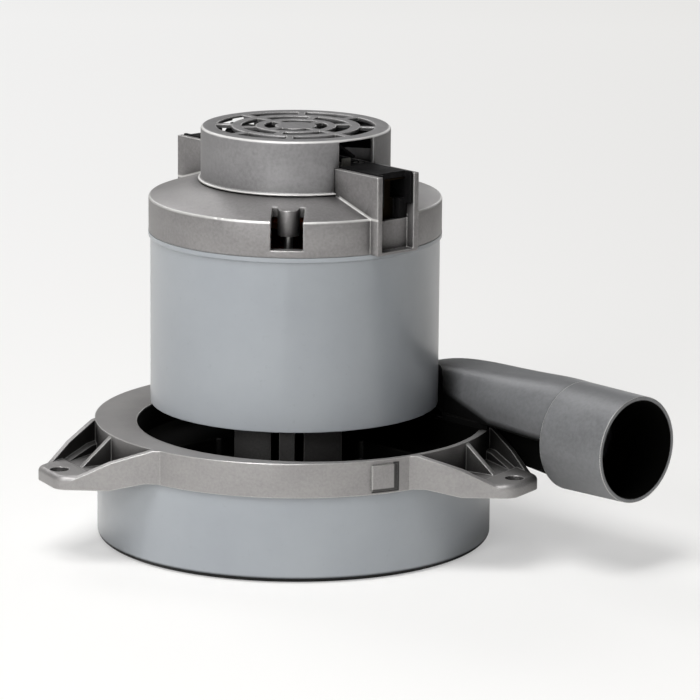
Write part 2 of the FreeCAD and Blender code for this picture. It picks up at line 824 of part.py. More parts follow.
def tangent_arc(start, corner, end):
    """The arc from start to end whose tangents meet at the corner."""
    chord_middle = (start + end) * 0.5
    lift = corner - chord_middle
    half_chord = (end - start).Length / 2
    half_turn = math.atan2(lift.Length, half_chord)
    top = chord_middle + lift.normalize() * (half_chord * math.tan(half_turn / 2))
    return Part.Arc(start, top, end).toShape()


def brush_spring():
    """A helical spring between the brush and the terminal plate, along the brush's axis."""
    length = tube_outer_end - brush_end() - spring_wire - 0.2
    start_radius = brush_end() + spring_wire / 2 + 0.1
    pitch = length / spring_turns

    def point(turn):
        angle = 2 * math.pi * turn
        return Vector(spring_radius * math.cos(angle), -start_radius - pitch * turn,
                      brush_height + spring_radius * math.sin(angle))

    def way(turn):
        angle = 2 * math.pi * turn
        around_speed = 2 * math.pi * spring_radius
        return Vector(-around_speed * math.sin(angle), -pitch, around_speed * math.cos(angle)).normalize()

    edges = []
    quarters = spring_turns * 4
    for n in range(quarters):
        edges += biarc(point(n / 4), way(n / 4), point((n + 1) / 4), way((n + 1) / 4))
    path = Part.Wire(edges)
    section = Part.Wire(Part.Circle(point(0), way(0), spring_wire / 2).toShape())
    return path.makePipeShell([section], True, False)


def brush_terminal():
    """The brass clip that closes the tube, with a strap that bends over under the holder's top."""
    wide = brush_thickness / 2 + brush_play + tube_wall
    clip_end = tube_outer_end + terminal_thickness
    strap_top = block_top - 2.0 - holder_gap
    plate = box(-wide, wide, -clip_end, -tube_outer_end, brush_height - 5.2, brush_height + 6.4)
    strap = box(-2.4, 2.4, -clip_end, -tube_outer_end, brush_height, strap_top)
    shelf = box(-6.0, holder_half() - 1.6, -block_face + block_recess, -tube_outer_end,
                strap_top - terminal_thickness, strap_top)
    return join([plate, strap, shelf])


def field_tab():
    """The flat blade that the field's wire pushes onto, standing in the vent cover's notch."""
    top = block_top + holder_proud
    foot = box(-8.4, -3.6, -cover_radius + 1.0, -cover_radius + 8.4, top, top + terminal_thickness)
    blade = box(-8.4, -3.6, -cover_radius + 1.0, -cover_radius + 1.0 + terminal_thickness, top, top + 3.6)
    return join([foot, blade])


# Field

def field_core():
    bore = armature_radius + air_gap
    body = disc(field_radius, core_low, core_high)
    body = body.common(box(-far, far, -field_flat, field_flat, core_low, core_high))
    body = body.cut(disc(bore, 0, far))
    for side in (0, 180):
        for hand in (-1, 1):
            slot = sector(slot_outer_radius, slot_inner_radius, side + hand * (90 - slot_angle / 2),
                          side + hand * pole_half_angle, 0, far)
            body = body.cut(slot)
    for centre in (90, 270):
        gap = sector(slot_outer_radius, bore - 1, centre - slot_angle / 2, centre + slot_angle / 2, 0, far)
        body = body.cut(gap)
    return body


def field_coil():
    """One coil round the front pole: two legs in the slots, joined over and under the core."""
    start = pole_half_angle
    end = 90 - slot_angle / 2
    inner, outer = slot_inner_radius + coil_margin, slot_outer_radius - coil_margin
    low, high = core_low - coil_rise, core_high + coil_rise
    span = math.degrees(coil_margin / inner)
    body = sector(outer, inner, -end + span, end - span, low, high)
    core_room = sector(outer + 1, inner - 1, -start - span, start + span, core_low - coil_margin,
                       core_high + coil_margin)
    return body.cut(core_room)


# Rotor

def shaft():
    return revolved([
        (0, shaft_low),
        (shaft_fan_radius, shaft_low, 0.8),
        (shaft_fan_radius, bearing_low - 1),
        (shaft_bearing_radius, bearing_low - 1),
        (shaft_bearing_radius, bearing_high),
        (shaft_bearing_radius + 1.6, bearing_high),
        (shaft_bearing_radius + 1.6, bearing_high + 4),
        (shaft_core_radius, bearing_high + 4),
        (shaft_core_radius, commutator_high),
        (shaft_upper_radius + 1.6, commutator_high),
        (shaft_upper_radius + 1.6, upper_bearing_low),
        (shaft_upper_radius, upper_bearing_low),
        (shaft_upper_radius, vent_fan_high, 0.5),
        (0, vent_fan_high),
    ])


def fan_stack_heights():
    """Under-face of each fan's back plate."""
    return (lower_fan_low + fan_height - fan_plate, upper_fan_low + fan_height - fan_plate)


def fan_spacer():
    lower, upper = fan_stack_heights()
    return ring(spacer_radius, shaft_fan_radius + fit, lower + fan_plate, upper - washer_thickness)


def fan_shoulder():
    lower, upper = fan_stack_heights()
    return ring(spacer_radius, shaft_fan_radius + fit, upper + fan_plate, bearing_low - 1)


def fan_washers():
    return group([ring(washer_radius, shaft_fan_radius + fit, plate - washer_thickness, plate)
                  for plate in fan_stack_heights()])


def fan_nut():
    high = fan_stack_heights()[0] - washer_thickness
    corner = nut_across_flats / 2 / math.cos(math.radians(30))
    corners = [at(corner, 60 * n) for n in range(7)]
    body = Part.Face(Part.makePolygon(corners)).extrude(Vector(0, 0, nut_height))
    body.translate(Vector(0, 0, high - nut_height))
    chamfer = Part.makeCone(nut_across_flats / 2, nut_across_flats / 2 + 3 * nut_height, 3 * nut_height,
                            Vector(0, 0, high - nut_height))
    return body.common(chamfer).cut(disc(shaft_fan_radius + fit, 0, far))


def armature_slot(radius):
    """One armature slot at the front: a round bottom and a narrow mouth."""
    return disc(radius, core_low, core_high, 0, -armature_radius + 5.2)


def armature_core():
    body = ring(armature_radius, shaft_core_radius + fit, core_low, core_high)
    mouth = box(-1.2, 1.2, -armature_radius - 1, -armature_radius + 4, core_low, core_high)
    for slot in around(armature_slot(3.5), armature_slots) + around(mouth, armature_slots):
        body = body.cut(slot)
    return body


def armature_winding():
    inner = shaft_core_radius + 1.0
    rise = 11.0
    lower = revolved([
        (inner, core_low), (inner, core_low - rise + 3), (inner + 4, core_low - rise, 2),
        (armature_radius - 3, core_low - rise + 3, 4), (armature_radius - 1.6, core_low),
    ])
    neck_low = core_high + rise
    upper = revolved([
        (inner, core_high), (armature_radius - 1.6, core_high), (armature_radius - 3, neck_low - 2, 4),
        (riser_radius - 3.5, neck_low + 2), (riser_radius - 1.0, commutator_low),
        (inner, commutator_low),
    ])
    bars = around(armature_slot(3.3), armature_slots)
    return join([lower, upper] + bars)


def commutator():
    body = revolved([
        (shaft_core_radius + fit, commutator_low),
        (riser_radius, commutator_low),
        (riser_radius, commutator_low + riser_height),
        (commutator_radius, commutator_low + riser_height),
        (commutator_radius, commutator_high, 0.5),
        (shaft_core_radius + fit, commutator_high),
    ])
    gap = box(-bar_gap / 2, bar_gap / 2, -far, -commutator_radius + bar_gap_depth, commutator_low - 1,
              commutator_high + 1)
    for cutter in around(gap, commutator_bars):
        body = body.cut(cutter)
    return body


def vent_fan():
    hub = ring(vent_hub_radius, shaft_upper_radius + fit, upper_bearing_high + 0.8, vent_fan_high)
    chord = (vent_fan_high - vent_fan_low) / math.sin(math.radians(vent_blade_pitch))
    middle = (vent_fan_high + vent_fan_low) / 2
    blade = box(-chord / 2, chord / 2, -vent_fan_radius - 5, -vent_hub_radius + 2,
                -vent_blade_thickness / 2, vent_blade_thickness / 2)
    blade.rotate(Vector(0, 0, 0), Vector(0, 1, 0), vent_blade_pitch)
    blade.translate(Vector(0, 0, middle))
    room = ring(vent_fan_radius, vent_hub_radius - 2.0, vent_fan_low, vent_fan_high)
    blades = [turned(blade.common(room), 360.0 * n / vent_blades) for n in range(vent_blades)]
    return join([hub] + blades)


# Bearings

def bearing_middle(size, low):
    """The balls' pitch radius and the height of their centres."""
    return (size[0] + size[1]) / 2, low + size[2] / 2


def bearing_rings(size, low):
    """The inner and outer ring, each with a track a little larger than the balls."""
    bore, outside, width, ball = size
    pitch_radius, middle = bearing_middle(size, low)
    land = ball * 0.62
    track = Part.makeTorus(pitch_radius, ball + bearing_play, Vector(0, 0, middle))
    inner = ring(pitch_radius - land, bore + fit, low, low + width).cut(track)
    outer = ring(outside, pitch_radius + land, low, low + width).cut(track)
    return inner, outer


def ball_circle(size, low, radius, count):
    """Spheres of one radius spread round the track."""
    pitch_radius, middle = bearing_middle(size, low)
    return around(Part.makeSphere(radius, Vector(0, -pitch_radius, middle)), count)


def bearing_cage(size, low, count):
    pitch_radius, middle = bearing_middle(size, low)
    ball = size[3]
    body = ring(pitch_radius + 0.8, pitch_radius - 0.8, middle - 0.6 * ball, middle + ball + 0.9)
    for pocket in ball_circle(size, low, ball + bearing_play, count):
        body = body.cut(pocket)
    return body


def bearing_retainer():
    body = ring(hub_radius - 0.4, shaft_bearing_radius + 4.0, bearing_high, bearing_high + retainer_thickness)
    for n in range(3):
        place = at(retainer_screw_circle(), 120.0 * n + 60)
        body = body.cut(disc(1.7, 0, far, place.x, place.y))
    return body


def retainer_screw_circle():
    return (lower_bearing[1] + hub_radius) / 2


def retainer_screw_bodies():
    screws = []
    for n in range(3):
        place = at(retainer_screw_circle(), 120.0 * n + 60)
        top = bearing_high + retainer_thickness
        shank = disc(1.25, bearing_high - 7, top, place.x, place.y)
        head = disc(2.4, top, top + 1.6, place.x, place.y)
        screws.append(join([shank, head]))
    return screws


def wave_washer():
    return ring(upper_bearing[1] - 0.3, upper_bearing[1] - 2.3, upper_bearing_low - wave_washer_thickness,
                upper_bearing_low)


def build():
    """Every node's name and shape."""
    parts = {
        "fan_shell": fan_shell(),
        "fan_end_bracket": fan_end_bracket(),
        "discharge_horn": discharge_horn(),
        "horn_screws": horn_screws(),
        "stationary_fan": stationary_fan(),
        "shaft_seal": shaft_seal(),
        "motor_shell": motor_shell(),
        "commutator_bracket": commutator_bracket(),
        "through_bolts": through_bolts(),
        "vent_cover": vent_cover(),
        "field_core": field_core(),
        "field_coil_front": field_coil(),
        "field_coil_rear": turned(field_coil(), 180),
        "bearing_retainer": bearing_retainer(),
        "retainer_screws": group(retainer_screw_bodies()),
        "holder_screws": group(holder_screw_bodies()),
        "wave_washer": wave_washer(),
        "rotating_fan_lower": impeller(lower_fan_low, fan_eye_radius),
        "rotating_fan_upper": impeller(upper_fan_low, guide_eye_radius),
        "fan_spacer": fan_spacer(),
        "fan_shoulder": fan_shoulder(),
        "fan_washers": fan_washers(),
        "fan_nut": fan_nut(),
        "shaft": shaft(),
        "armature_core": armature_core(),
        "armature_winding": armature_winding(),
        "commutator": commutator(),
        "vent_fan": vent_fan(),
    }
    bearings = (("lower", lower_bearing, bearing_low, lower_ball_count),
                ("upper", upper_bearing, upper_bearing_low, upper_ball_count))
    for name, size, low, count in bearings:
        inner, outer = bearing_rings(size, low)
        parts[name + "_bearing_inner_ring"] = inner
        parts[name + "_bearing_outer_ring"] = outer
        parts[name + "_bearing_balls"] = group(ball_circle(size, low, size[3], count))
        parts[name + "_bearing_cage"] = bearing_cage(size, low, count)
    for place, angle in (("front", brush_angle), ("rear", brush_angle + 180)):
        parts["brush_holder_" + place] = turned(brush_holder(), angle)
        parts["brush_tube_" + place] = turned(brush_tube(), angle)
        parts["carbon_brush_" + place] = turned(carbon_brush(), angle)
        parts["brush_spring_" + place] = turned(brush_spring(), angle)
        parts["brush_terminal_" + place] = turned(brush_terminal(), angle)
        parts["field_tab_" + place] = turned(field_tab(), angle)
    return parts


os.makedirs("parts", exist_ok=True)
for node, shape in build().items():
    shape.exportStep("parts/" + node + ".step")
    print(node, "solids", len(shape.Solids), "valid", shape.isValid(), "volume", round(shape.Volume, 1))
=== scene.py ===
"""A vacuum motor with a tangential discharge horn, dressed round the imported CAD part.

The frame is the part's own: metres, Z along the shaft, the fan shell standing on z = 0. Sizes are
named in millimetres unless their comment says otherwise, and MM turns them to metres.
"""
import json
import math

import bmesh
import bpy
from mathutils import Matrix, Vector

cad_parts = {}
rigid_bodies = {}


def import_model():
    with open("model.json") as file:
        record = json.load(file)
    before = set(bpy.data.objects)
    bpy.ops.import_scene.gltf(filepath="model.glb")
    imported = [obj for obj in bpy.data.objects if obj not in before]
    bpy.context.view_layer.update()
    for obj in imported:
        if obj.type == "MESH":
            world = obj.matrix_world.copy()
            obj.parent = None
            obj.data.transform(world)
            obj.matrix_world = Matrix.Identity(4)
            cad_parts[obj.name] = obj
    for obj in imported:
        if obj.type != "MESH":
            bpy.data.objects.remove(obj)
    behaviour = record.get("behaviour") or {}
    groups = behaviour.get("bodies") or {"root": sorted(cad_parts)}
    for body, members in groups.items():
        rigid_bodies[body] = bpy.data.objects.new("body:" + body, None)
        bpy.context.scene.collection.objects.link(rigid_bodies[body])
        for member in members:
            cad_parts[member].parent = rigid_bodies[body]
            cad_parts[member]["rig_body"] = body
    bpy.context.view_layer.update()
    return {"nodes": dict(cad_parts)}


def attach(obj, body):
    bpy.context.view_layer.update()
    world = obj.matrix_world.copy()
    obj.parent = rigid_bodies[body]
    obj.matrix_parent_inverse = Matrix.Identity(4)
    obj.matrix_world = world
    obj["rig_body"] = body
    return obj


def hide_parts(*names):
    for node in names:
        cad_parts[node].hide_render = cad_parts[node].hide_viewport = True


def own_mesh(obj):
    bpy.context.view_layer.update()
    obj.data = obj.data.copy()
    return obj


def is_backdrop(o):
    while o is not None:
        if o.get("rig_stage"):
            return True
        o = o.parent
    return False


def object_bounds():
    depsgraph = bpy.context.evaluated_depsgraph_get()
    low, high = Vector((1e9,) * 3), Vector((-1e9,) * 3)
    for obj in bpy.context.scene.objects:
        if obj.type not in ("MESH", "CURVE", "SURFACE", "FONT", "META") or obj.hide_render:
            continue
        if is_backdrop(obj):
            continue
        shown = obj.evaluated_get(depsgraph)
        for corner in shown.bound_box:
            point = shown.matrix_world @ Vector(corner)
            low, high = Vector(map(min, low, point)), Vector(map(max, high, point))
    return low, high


MM = 0.001

# Camera, measured from the photograph's own perspective: the sensor is in millimetres, the focal
# length in pixels of the picture, the turns in degrees
IMAGE_SIDE = 700
SENSOR_WIDTH = 36.0
FOCAL_PIXELS = 4425.75
CAMERA_PLACE = (112.9, -1997.0, 536.65)
CAMERA_PITCH = -12.68
CAMERA_TURN = 2.5
CAMERA_ROLL = 0.49

# The shaft's axis and the horn's, each as a point on it and its direction
SHAFT = ((0.0, 0.0, 0.0), (0.0, 0.0, 1.0))
HORN_ANGLE = math.radians(46.5)
HORN_WAY = (math.sin(HORN_ANGLE), -math.cos(HORN_ANGLE), 0.0)
HORN_SIDE = (math.cos(HORN_ANGLE), math.sin(HORN_ANGLE), 0.0)
HORN_OFFSET = 60.0
HORN_HEIGHT = 58.5
HORN = ((HORN_OFFSET * HORN_SIDE[0], HORN_OFFSET * HORN_SIDE[1], HORN_HEIGHT), HORN_WAY)

# The brush blocks' direction from the shaft, and the direction across them
BLOCK_ANGLE = math.radians(43.5)
BLOCK_WAY = (math.sin(BLOCK_ANGLE), -math.cos(BLOCK_ANGLE), 0.0)
BLOCK_SIDE = (math.cos(BLOCK_ANGLE), math.sin(BLOCK_ANGLE), 0.0)
BLOCK_HALF_WIDTH = 12.2
BRUSH_HEIGHT = 161.0

# Painted light and shade on the metal: painted shade in its pockets, painted black shade and
# shadow where no light reaches, and painted highlights on its corners and along its turned rims
POCKET_SHADE = "11100e"
SHADE_BLACK = "121211"
CORNER_HIGHLIGHT = "e2e1df"
LINE_HIGHLIGHT = "eeedeb"
LINE_HIGHLIGHT_WIDTH = 0.8
LINE_HIGHLIGHT_SHARE = 0.7

# Rays that a shaded round or a pocket takes at each point
SHADE_SAMPLES = 6

# Mesh finish: rounds of the real corners, the share of a round that an edge's length has to reach
# for it, how near points are welded or count as on a cut, and angles in degrees
CAST_ROUND = 0.45
MOULDED_ROUND = 0.3
ROUNDED_LENGTH = 0.7
WELD = 0.002
ON_CUT = 0.0001
SHARP_ANGLE = 35.0
CORNER_ANGLE = 55.0
CURVE_ANGLE = 14.0

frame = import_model()
nodes = frame["nodes"]
scene = bpy.context.scene


# Colours and nodes

def linear(hex_colour):
    """An sRGB hex colour as the linear RGBA that shaders take."""
    channels = [int(hex_colour[start:start + 2], 16) / 255 for start in (0, 2, 4)]
    return tuple(c / 12.92 if c <= 0.04045 else ((c + 0.055) / 1.055) ** 2.4
                 for c in channels) + (1.0,)


def feed(node, inputs):
    """Gives a node its inputs, by name or number. Each is a value, a hex colour, an output of
    another node, or a whole node, which stands for its first output in use. A list gives one
    input several of these."""
    for key, given in inputs.items():
        socket = node.inputs[key]
        for value in given if isinstance(given, list) else [given]:
            if isinstance(value, bpy.types.Node):
                value = next(output for output in value.outputs if output.enabled)
            if isinstance(value, bpy.types.NodeSocket):
                node.id_data.links.new(value, socket)
            else:
                socket.default_value = linear(value) if isinstance(value, str) else value


def add(tree, kind, inputs=None, **settings):
    """Adds one node with its own settings and its inputs."""
    node = tree.nodes.new(kind)
    for name, value in settings.items():
        setattr(node, name, value)
    feed(node, inputs or {})
    return node


def new_material(name, colour, roughness, metallic=0.0, sockets=None):
    """A material with its shader, and the piece's own coordinates, which its patterns read."""
    material = bpy.data.materials.new(name)
    material.use_nodes = True
    tree = material.node_tree
    tree.nodes.clear()
    shader = add(tree, "ShaderNodeBsdfPrincipled", {
        "Base Color": colour, "Roughness": roughness, "Metallic": metallic, **(sockets or {})})
    add(tree, "ShaderNodeOutputMaterial", {"Surface": shader})
    return material, tree, shader, add(tree, "ShaderNodeTexCoord").outputs["Object"]


def grain(tree, place, size, detail=3.0, stretch=(1, 1, 1), rough=0.55):
    """Noise from 0 to 1 whose lumps are about the given size in millimetres."""
    scaled = add(tree, "ShaderNodeMapping", {"Vector": place, "Scale": stretch})
    return add(tree, "ShaderNodeTexNoise", {
        "Vector": scaled, "Scale": 1 / (size * MM), "Detail": detail, "Roughness": rough})


def toned(tree, pattern, start, end, first, second, share=1.0):
    """One colour that turns into another as a pattern goes from a start to an end value, the
    second at most by the given share."""
    factor = add(tree, "ShaderNodeMapRange", {
        "Value": pattern, "From Min": start, "From Max": end, "To Max": share})
    return add(tree, "ShaderNodeMix", {"Factor": factor, 6: first, 7: second}, data_type="RGBA")


def corner_turn(tree, soft):
    """From 0 on a face to 1 at a corner: how far a shaded round turns away from the face."""
    face = add(tree, "ShaderNodeNewGeometry").outputs["Normal"]
    likeness = add(tree, "ShaderNodeVectorMath", {0: soft, 1: face}, operation="DOT_PRODUCT")
    return add(tree, "ShaderNodeMapRange", {
        "Value": likeness, "From Min": 0.985, "From Max": 0.90})


def sheltered(tree, reach):
    """From 0 in the open to 1 in a pocket or corner of the given size in millimetres."""
    sky = add(tree, "ShaderNodeAmbientOcclusion", {"Distance": reach * MM}, samples=SHADE_SAMPLES)
    return add(tree, "ShaderNodeMapRange", {
        "Value": sky.outputs["AO"], "From Min": 0.92, "From Max": 0.45})


# Materials

def enamelled_steel():
    """Drawn sheet steel in grey stoving enamel: satin and even, with a faint orange peel."""
    material, tree, shader, place = new_material(
        "enamelled_drawn_steel", "a4a9ae", 0.34, 0.0,
        {"Coat Weight": 0.3, "Coat Roughness": 0.16})
    clouds = grain(tree, place, 45.0, detail=4.0)
    specks = grain(tree, place, 2.4, detail=2.0)
    peel = grain(tree, place, 1.8, detail=2.0)
    enamel = toned(tree, clouds, 0.3, 0.7, "9a9fa5", "a2a7ac")
    feed(shader, {
        "Base Color": toned(tree, specks, 0.66, 0.74, enamel, "93989c", 0.35),
        "Normal": add(tree, "ShaderNodeBump", {"Height": peel, "Distance": 0.016 * MM})})
    return material


def cast_aluminium(name, dark, light, roughness, lump, depth, shaded_round, pocket=12.0,
                   metal=0.6):
    """Die-cast aluminium alloy: a satin skin with flow marks and fine lumps, with painted
    highlights on its corners and painted shade in its pockets. Lumps, depth, round and pockets in
    millimetres."""
    material, tree, shader, place = new_material(name, light, roughness, metal)
    flow = grain(tree, place, 30.0, detail=5.0, stretch=(1, 1, 2.2), rough=0.6)
    fine = grain(tree, place, lump)
    pits = grain(tree, place, 3.4, detail=2.0)
    flow_part = add(tree, "ShaderNodeMath", {0: flow, 1: 0.45}, operation="MULTIPLY")
    both = add(tree, "ShaderNodeMath", {0: fine, 1: 0.55, 2: flow_part}, operation="MULTIPLY_ADD")
    skin = toned(tree, both, 0.36, 0.62, dark, light)
    pitted = toned(tree, pits, 0.64, 0.76, skin, dark, 0.4)
    soft = add(tree, "ShaderNodeBevel", {"Radius": shaded_round * MM}, samples=SHADE_SAMPLES)
    at_corner = corner_turn(tree, soft)
    shelter = sheltered(tree, pocket)
    # Painted shade in the pockets and corners
    pocket_shaded = toned(tree, shelter, 0.0, 1.0, pitted, POCKET_SHADE, 0.95)
    # The painted corner highlight is about half as strong inside a pocket as in the open, and a
    # corner is a little smoother than the skin beside it
    reached = add(tree, "ShaderNodeMath", {0: shelter, 1: -0.45, 2: 0.8},
                  operation="MULTIPLY_ADD")
    highlighted = add(tree, "ShaderNodeMath", {0: at_corner, 1: reached}, operation="MULTIPLY")
    rough = add(tree, "ShaderNodeMapRange", {
        "Value": fine, "From Min": 0.3, "From Max": 0.7,
        "To Min": roughness - 0.06, "To Max": roughness + 0.08})
    feed(shader, {
        "Base Color": toned(tree, highlighted, 0.0, 1.0, pocket_shaded, CORNER_HIGHLIGHT),
        "Roughness": add(tree, "ShaderNodeMath", {0: at_corner, 1: -0.12, 2: rough},
                         operation="MULTIPLY_ADD"),
        "Normal": add(tree, "ShaderNodeBump", {
            "Height": fine, "Distance": depth * MM, "Normal": soft})})
    return material


def phenolic():
    """Black compression-moulded phenolic: hard, dark and slightly mottled, with a low gloss."""
    material, tree, shader, place = new_material(
        "compression_moulded_phenolic", "0a0a0b", 0.55, 0.0, {"Specular IOR Level": 0.15})
    mottle = grain(tree, place, 1.2, detail=4.0)
    soft = add(tree, "ShaderNodeBevel", {"Radius": MOULDED_ROUND * MM}, samples=SHADE_SAMPLES)
    feed(shader, {
        "Base Color": toned(tree, mottle, 0.4, 0.75, "060607", "131213"),
        "Normal": add(tree, "ShaderNodeBump", {
            "Height": mottle, "Distance": 0.01 * MM, "Normal": soft})})
    return material


def bare_metal(name, dark, light, roughness, line, stretch, depth):
    """A metal that was rolled, turned, ground or drawn: bright, with fine lines along the cut.
    The lines and their depth are in millimetres."""
    material, tree, shader, place = new_material(name, light, roughness, 1.0)
    lines = grain(tree, place, line, detail=2.0, stretch=stretch)
    clouds = grain(tree, place, 14.0)
    lined = toned(tree, lines, 0.35, 0.65, dark, light)
    feed(shader, {
        "Base Color": toned(tree, clouds, 0.0, 1.0, lined, light),
        "Roughness": add(tree, "ShaderNodeMapRange", {
            "Value": clouds, "From Min": 0.3, "From Max": 0.7,
            "To Min": roughness - 0.05, "To Max": roughness + 0.08}),
        "Normal": add(tree, "ShaderNodeBump", {"Height": lines, "Distance": depth * MM})})
    return material


def layered(name, dark, light, roughness, pitch, metallic, across=(0, 0, 1)):
    """A stack or a winding: ridges side by side across a direction, one pitch in millimetres
    apart and a quarter of it high."""
    material, tree, shader, place = new_material(name, light, roughness, metallic)
    along = add(tree, "ShaderNodeVectorMath", {0: place, 1: across}, operation="DOT_PRODUCT")
    turns = add(tree, "ShaderNodeMath", {0: along, 1: 2 * math.pi / (pitch * MM)},
                operation="MULTIPLY")
    swing = add(tree, "ShaderNodeMath", {0: turns}, operation="SINE")
    ridges = add(tree, "ShaderNodeMath", {0: swing, 1: 0.5, 2: 0.5}, operation="MULTIPLY_ADD")
    feed(shader, {
        "Base Color": toned(tree, ridges, 0.1, 0.6, dark, light),
        "Normal": add(tree, "ShaderNodeBump", {
            "Height": ridges, "Distance": pitch * 0.25 * MM})})
    return material


def pressed_carbon():
    """Pressed electrographite: matt and near black, with a grain of fine sparkle."""
    material, tree, shader, place = new_material("pressed_electrographite", "161617", 0.6)
    fine = grain(tree, place, 0.4)
    feed(shader, {
        "Base Color": toned(tree, fine, 0.4, 0.8, "121213", "262628"),
        "Normal": add(tree, "ShaderNodeBump", {"Height": fine, "Distance": 0.01 * MM})})
    return material


# Painted shade and painted highlights, laid over a finished material

def shader_of(tree):
    """The shader of a material that is already made."""
    return next(node for node in tree.nodes if node.type == "BSDF_PRINCIPLED")


def millimetre_place(tree):
    """Where a point of the surface lies in the part's frame, in millimetres."""
    place = add(tree, "ShaderNodeTexCoord").outputs["Object"]
    return add(tree, "ShaderNodeVectorMath", {0: place, "Scale": 1 / MM}, operation="SCALE")


def distance_from(tree, point, line):
    """How far the surface is from a line, given as a point on it and its direction."""
    offset = add(tree, "ShaderNodeVectorMath", {0: point, 1: line[0]}, operation="SUBTRACT")
    across = add(tree, "ShaderNodeVectorMath", {0: offset, 1: line[1]},
                 operation="CROSS_PRODUCT")
    return add(tree, "ShaderNodeVectorMath", {0: across}, operation="LENGTH")


def marked(tree, areas):
    """From 0 where the surface is bare to 1 where it is wholly marked with painted shade or
    highlight. Each area has a strength and limits, and a limit is a measure, its value where the
    mark ends and its value where it is full. A later area marks over the earlier ones, or lightens
    them by a strength below 0."""
    amount = 0.0
    for strength, *limits in areas.values():
        area = strength
        for measure, ends, full in limits:
            part = add(tree, "ShaderNodeMapRange", {
                "Value": measure, "From Min": ends, "From Max": full})
            area = add(tree, "ShaderNodeMath", {0: part, 1: area}, operation="MULTIPLY")
        amount = add(tree, "ShaderNodeMath", {0: area, 1: amount},
                     operation="MAXIMUM" if strength > 0 else "ADD")
    return amount


def ring_painted_shade(tree, point):
    """Painted shade and shadow in the bowl, lighter on its pedestals, in the gaps by the front
    pad, and at the seat of the horn's neck.
    """
    right, back, height = add(tree, "ShaderNodeSeparateXYZ", {"Vector": point}).outputs
    radius = distance_from(tree, point, SHAFT)
    sideways = add(tree, "ShaderNodeMath", {0: right}, operation="ABSOLUTE")
    front = add(tree, "ShaderNodeMath", {0: back, 1: -1.0}, operation="MULTIPLY")
    turn = add(tree, "ShaderNodeMath", {0: right, 1: front}, operation="ARCTAN2")
    angle = add(tree, "ShaderNodeMath", {0: turn}, operation="DEGREES")
    along = add(tree, "ShaderNodeVectorMath", {0: point, 1: HORN_WAY}, operation="DOT_PRODUCT")
    across = add(tree, "ShaderNodeVectorMath", {0: point, 1: HORN_SIDE}, operation="DOT_PRODUCT")
    return marked(tree, {
        "under the motor": (1.0, (radius, 66.8, 66.0)),
        "bowl below its rim": (1.0, (radius, 88.5, 86.5), (height, 55.1, 53.8)),
        "pedestals": (-0.48, (radius, 44.0, 45.5), (radius, 66.8, 66.0), (sideways, 34.0, 33.0)),
        "gap beside the pad": (0.72, (angle, 31.8, 32.1), (angle, 33.95, 33.8),
                               (height, 40.0, 40.4), (height, 53.9, 53.5), (radius, 91.5, 92.0)),
        "gap under the pad": (0.72, (angle, 25.2, 25.4), (angle, 33.8, 33.6),
                              (height, 40.1, 40.4), (height, 42.3, 41.8), (radius, 91.5, 92.0)),
        "seat of the neck": (1.0, (across, 43.8, 44.2), (across, 49.0, 48.0),
                             (radius, 90.5, 89.5), (along, 0.0, 10.0)),
    })


def horn_painted_shade(tree, point):
    """Painted shade inside the cuff's bore, and painted shadow low on the side of the neck that
    faces the motor, below the shoulder's line, which comes down as the neck narrows."""
    height = add(tree, "ShaderNodeSeparateXYZ", {"Vector": point}).outputs["Z"]
    off_axis = distance_from(tree, point, HORN)
    along = add(tree, "ShaderNodeVectorMath", {0: point, 1: HORN_WAY}, operation="DOT_PRODUCT")
    across = add(tree, "ShaderNodeVectorMath", {0: point, 1: HORN_SIDE}, operation="DOT_PRODUCT")
    shoulder = add(tree, "ShaderNodeMapRange", {
        "Value": along, "From Min": 45.0, "From Max": 82.0, "To Min": 70.0, "To Max": 60.2})
    above = add(tree, "ShaderNodeMath", {0: height, 1: shoulder}, operation="SUBTRACT")
    return marked(tree, {
        "bore": (1.0, (off_axis, 22.9, 22.4), (along, 124.2, 126.2)),
        "near side": (0.97, (above, 1.2, -1.5), (across, 64.0, 60.0), (along, 124.2, 120.0)),
    })


def cap_painted_shade(tree, point):
    """Painted shade inside the cap."""
    height = add(tree, "ShaderNodeSeparateXYZ", {"Vector": point}).outputs["Z"]
    radius = distance_from(tree, point, SHAFT)
    return marked(tree, {"inside": (0.97, (radius, 41.2, 40.5), (height, 189.7, 188.5))})


def foot_painted_shadow(tree, point):
    """A painted contact shadow: a dark line where the fan shell stands."""
    height = add(tree, "ShaderNodeSeparateXYZ", {"Vector": point}).outputs["Z"]
    return marked(tree, {"foot": (0.97, (height, 3.1, 1.9))})


def paint_shade_over(material, shade_mask):
    """Paints shade on the skin, turning it matt black by the amount that the mask gives. It turns
    metallic too, so that the painted black has no pale gloss, which a black paint keeps."""
    tree = material.node_tree
    shader = shader_of(tree)
    skin = shader.inputs["Base Color"].links[0].from_socket
    metal = shader.inputs["Metallic"].default_value
    rough = shader.inputs["Roughness"]
    unshaded_rough = rough.links[0].from_socket if rough.links else rough.default_value
    amount = shade_mask(tree, millimetre_place(tree))
    feed(shader, {
        "Base Color": toned(tree, amount, 0.0, 1.0, skin, SHADE_BLACK),
        "Metallic": add(tree, "ShaderNodeMapRange", {"Value": amount, "To Min": metal}),
        "Roughness": add(tree, "ShaderNodeMath", {0: unshaded_rough, 1: amount},
                         operation="MAXIMUM")})


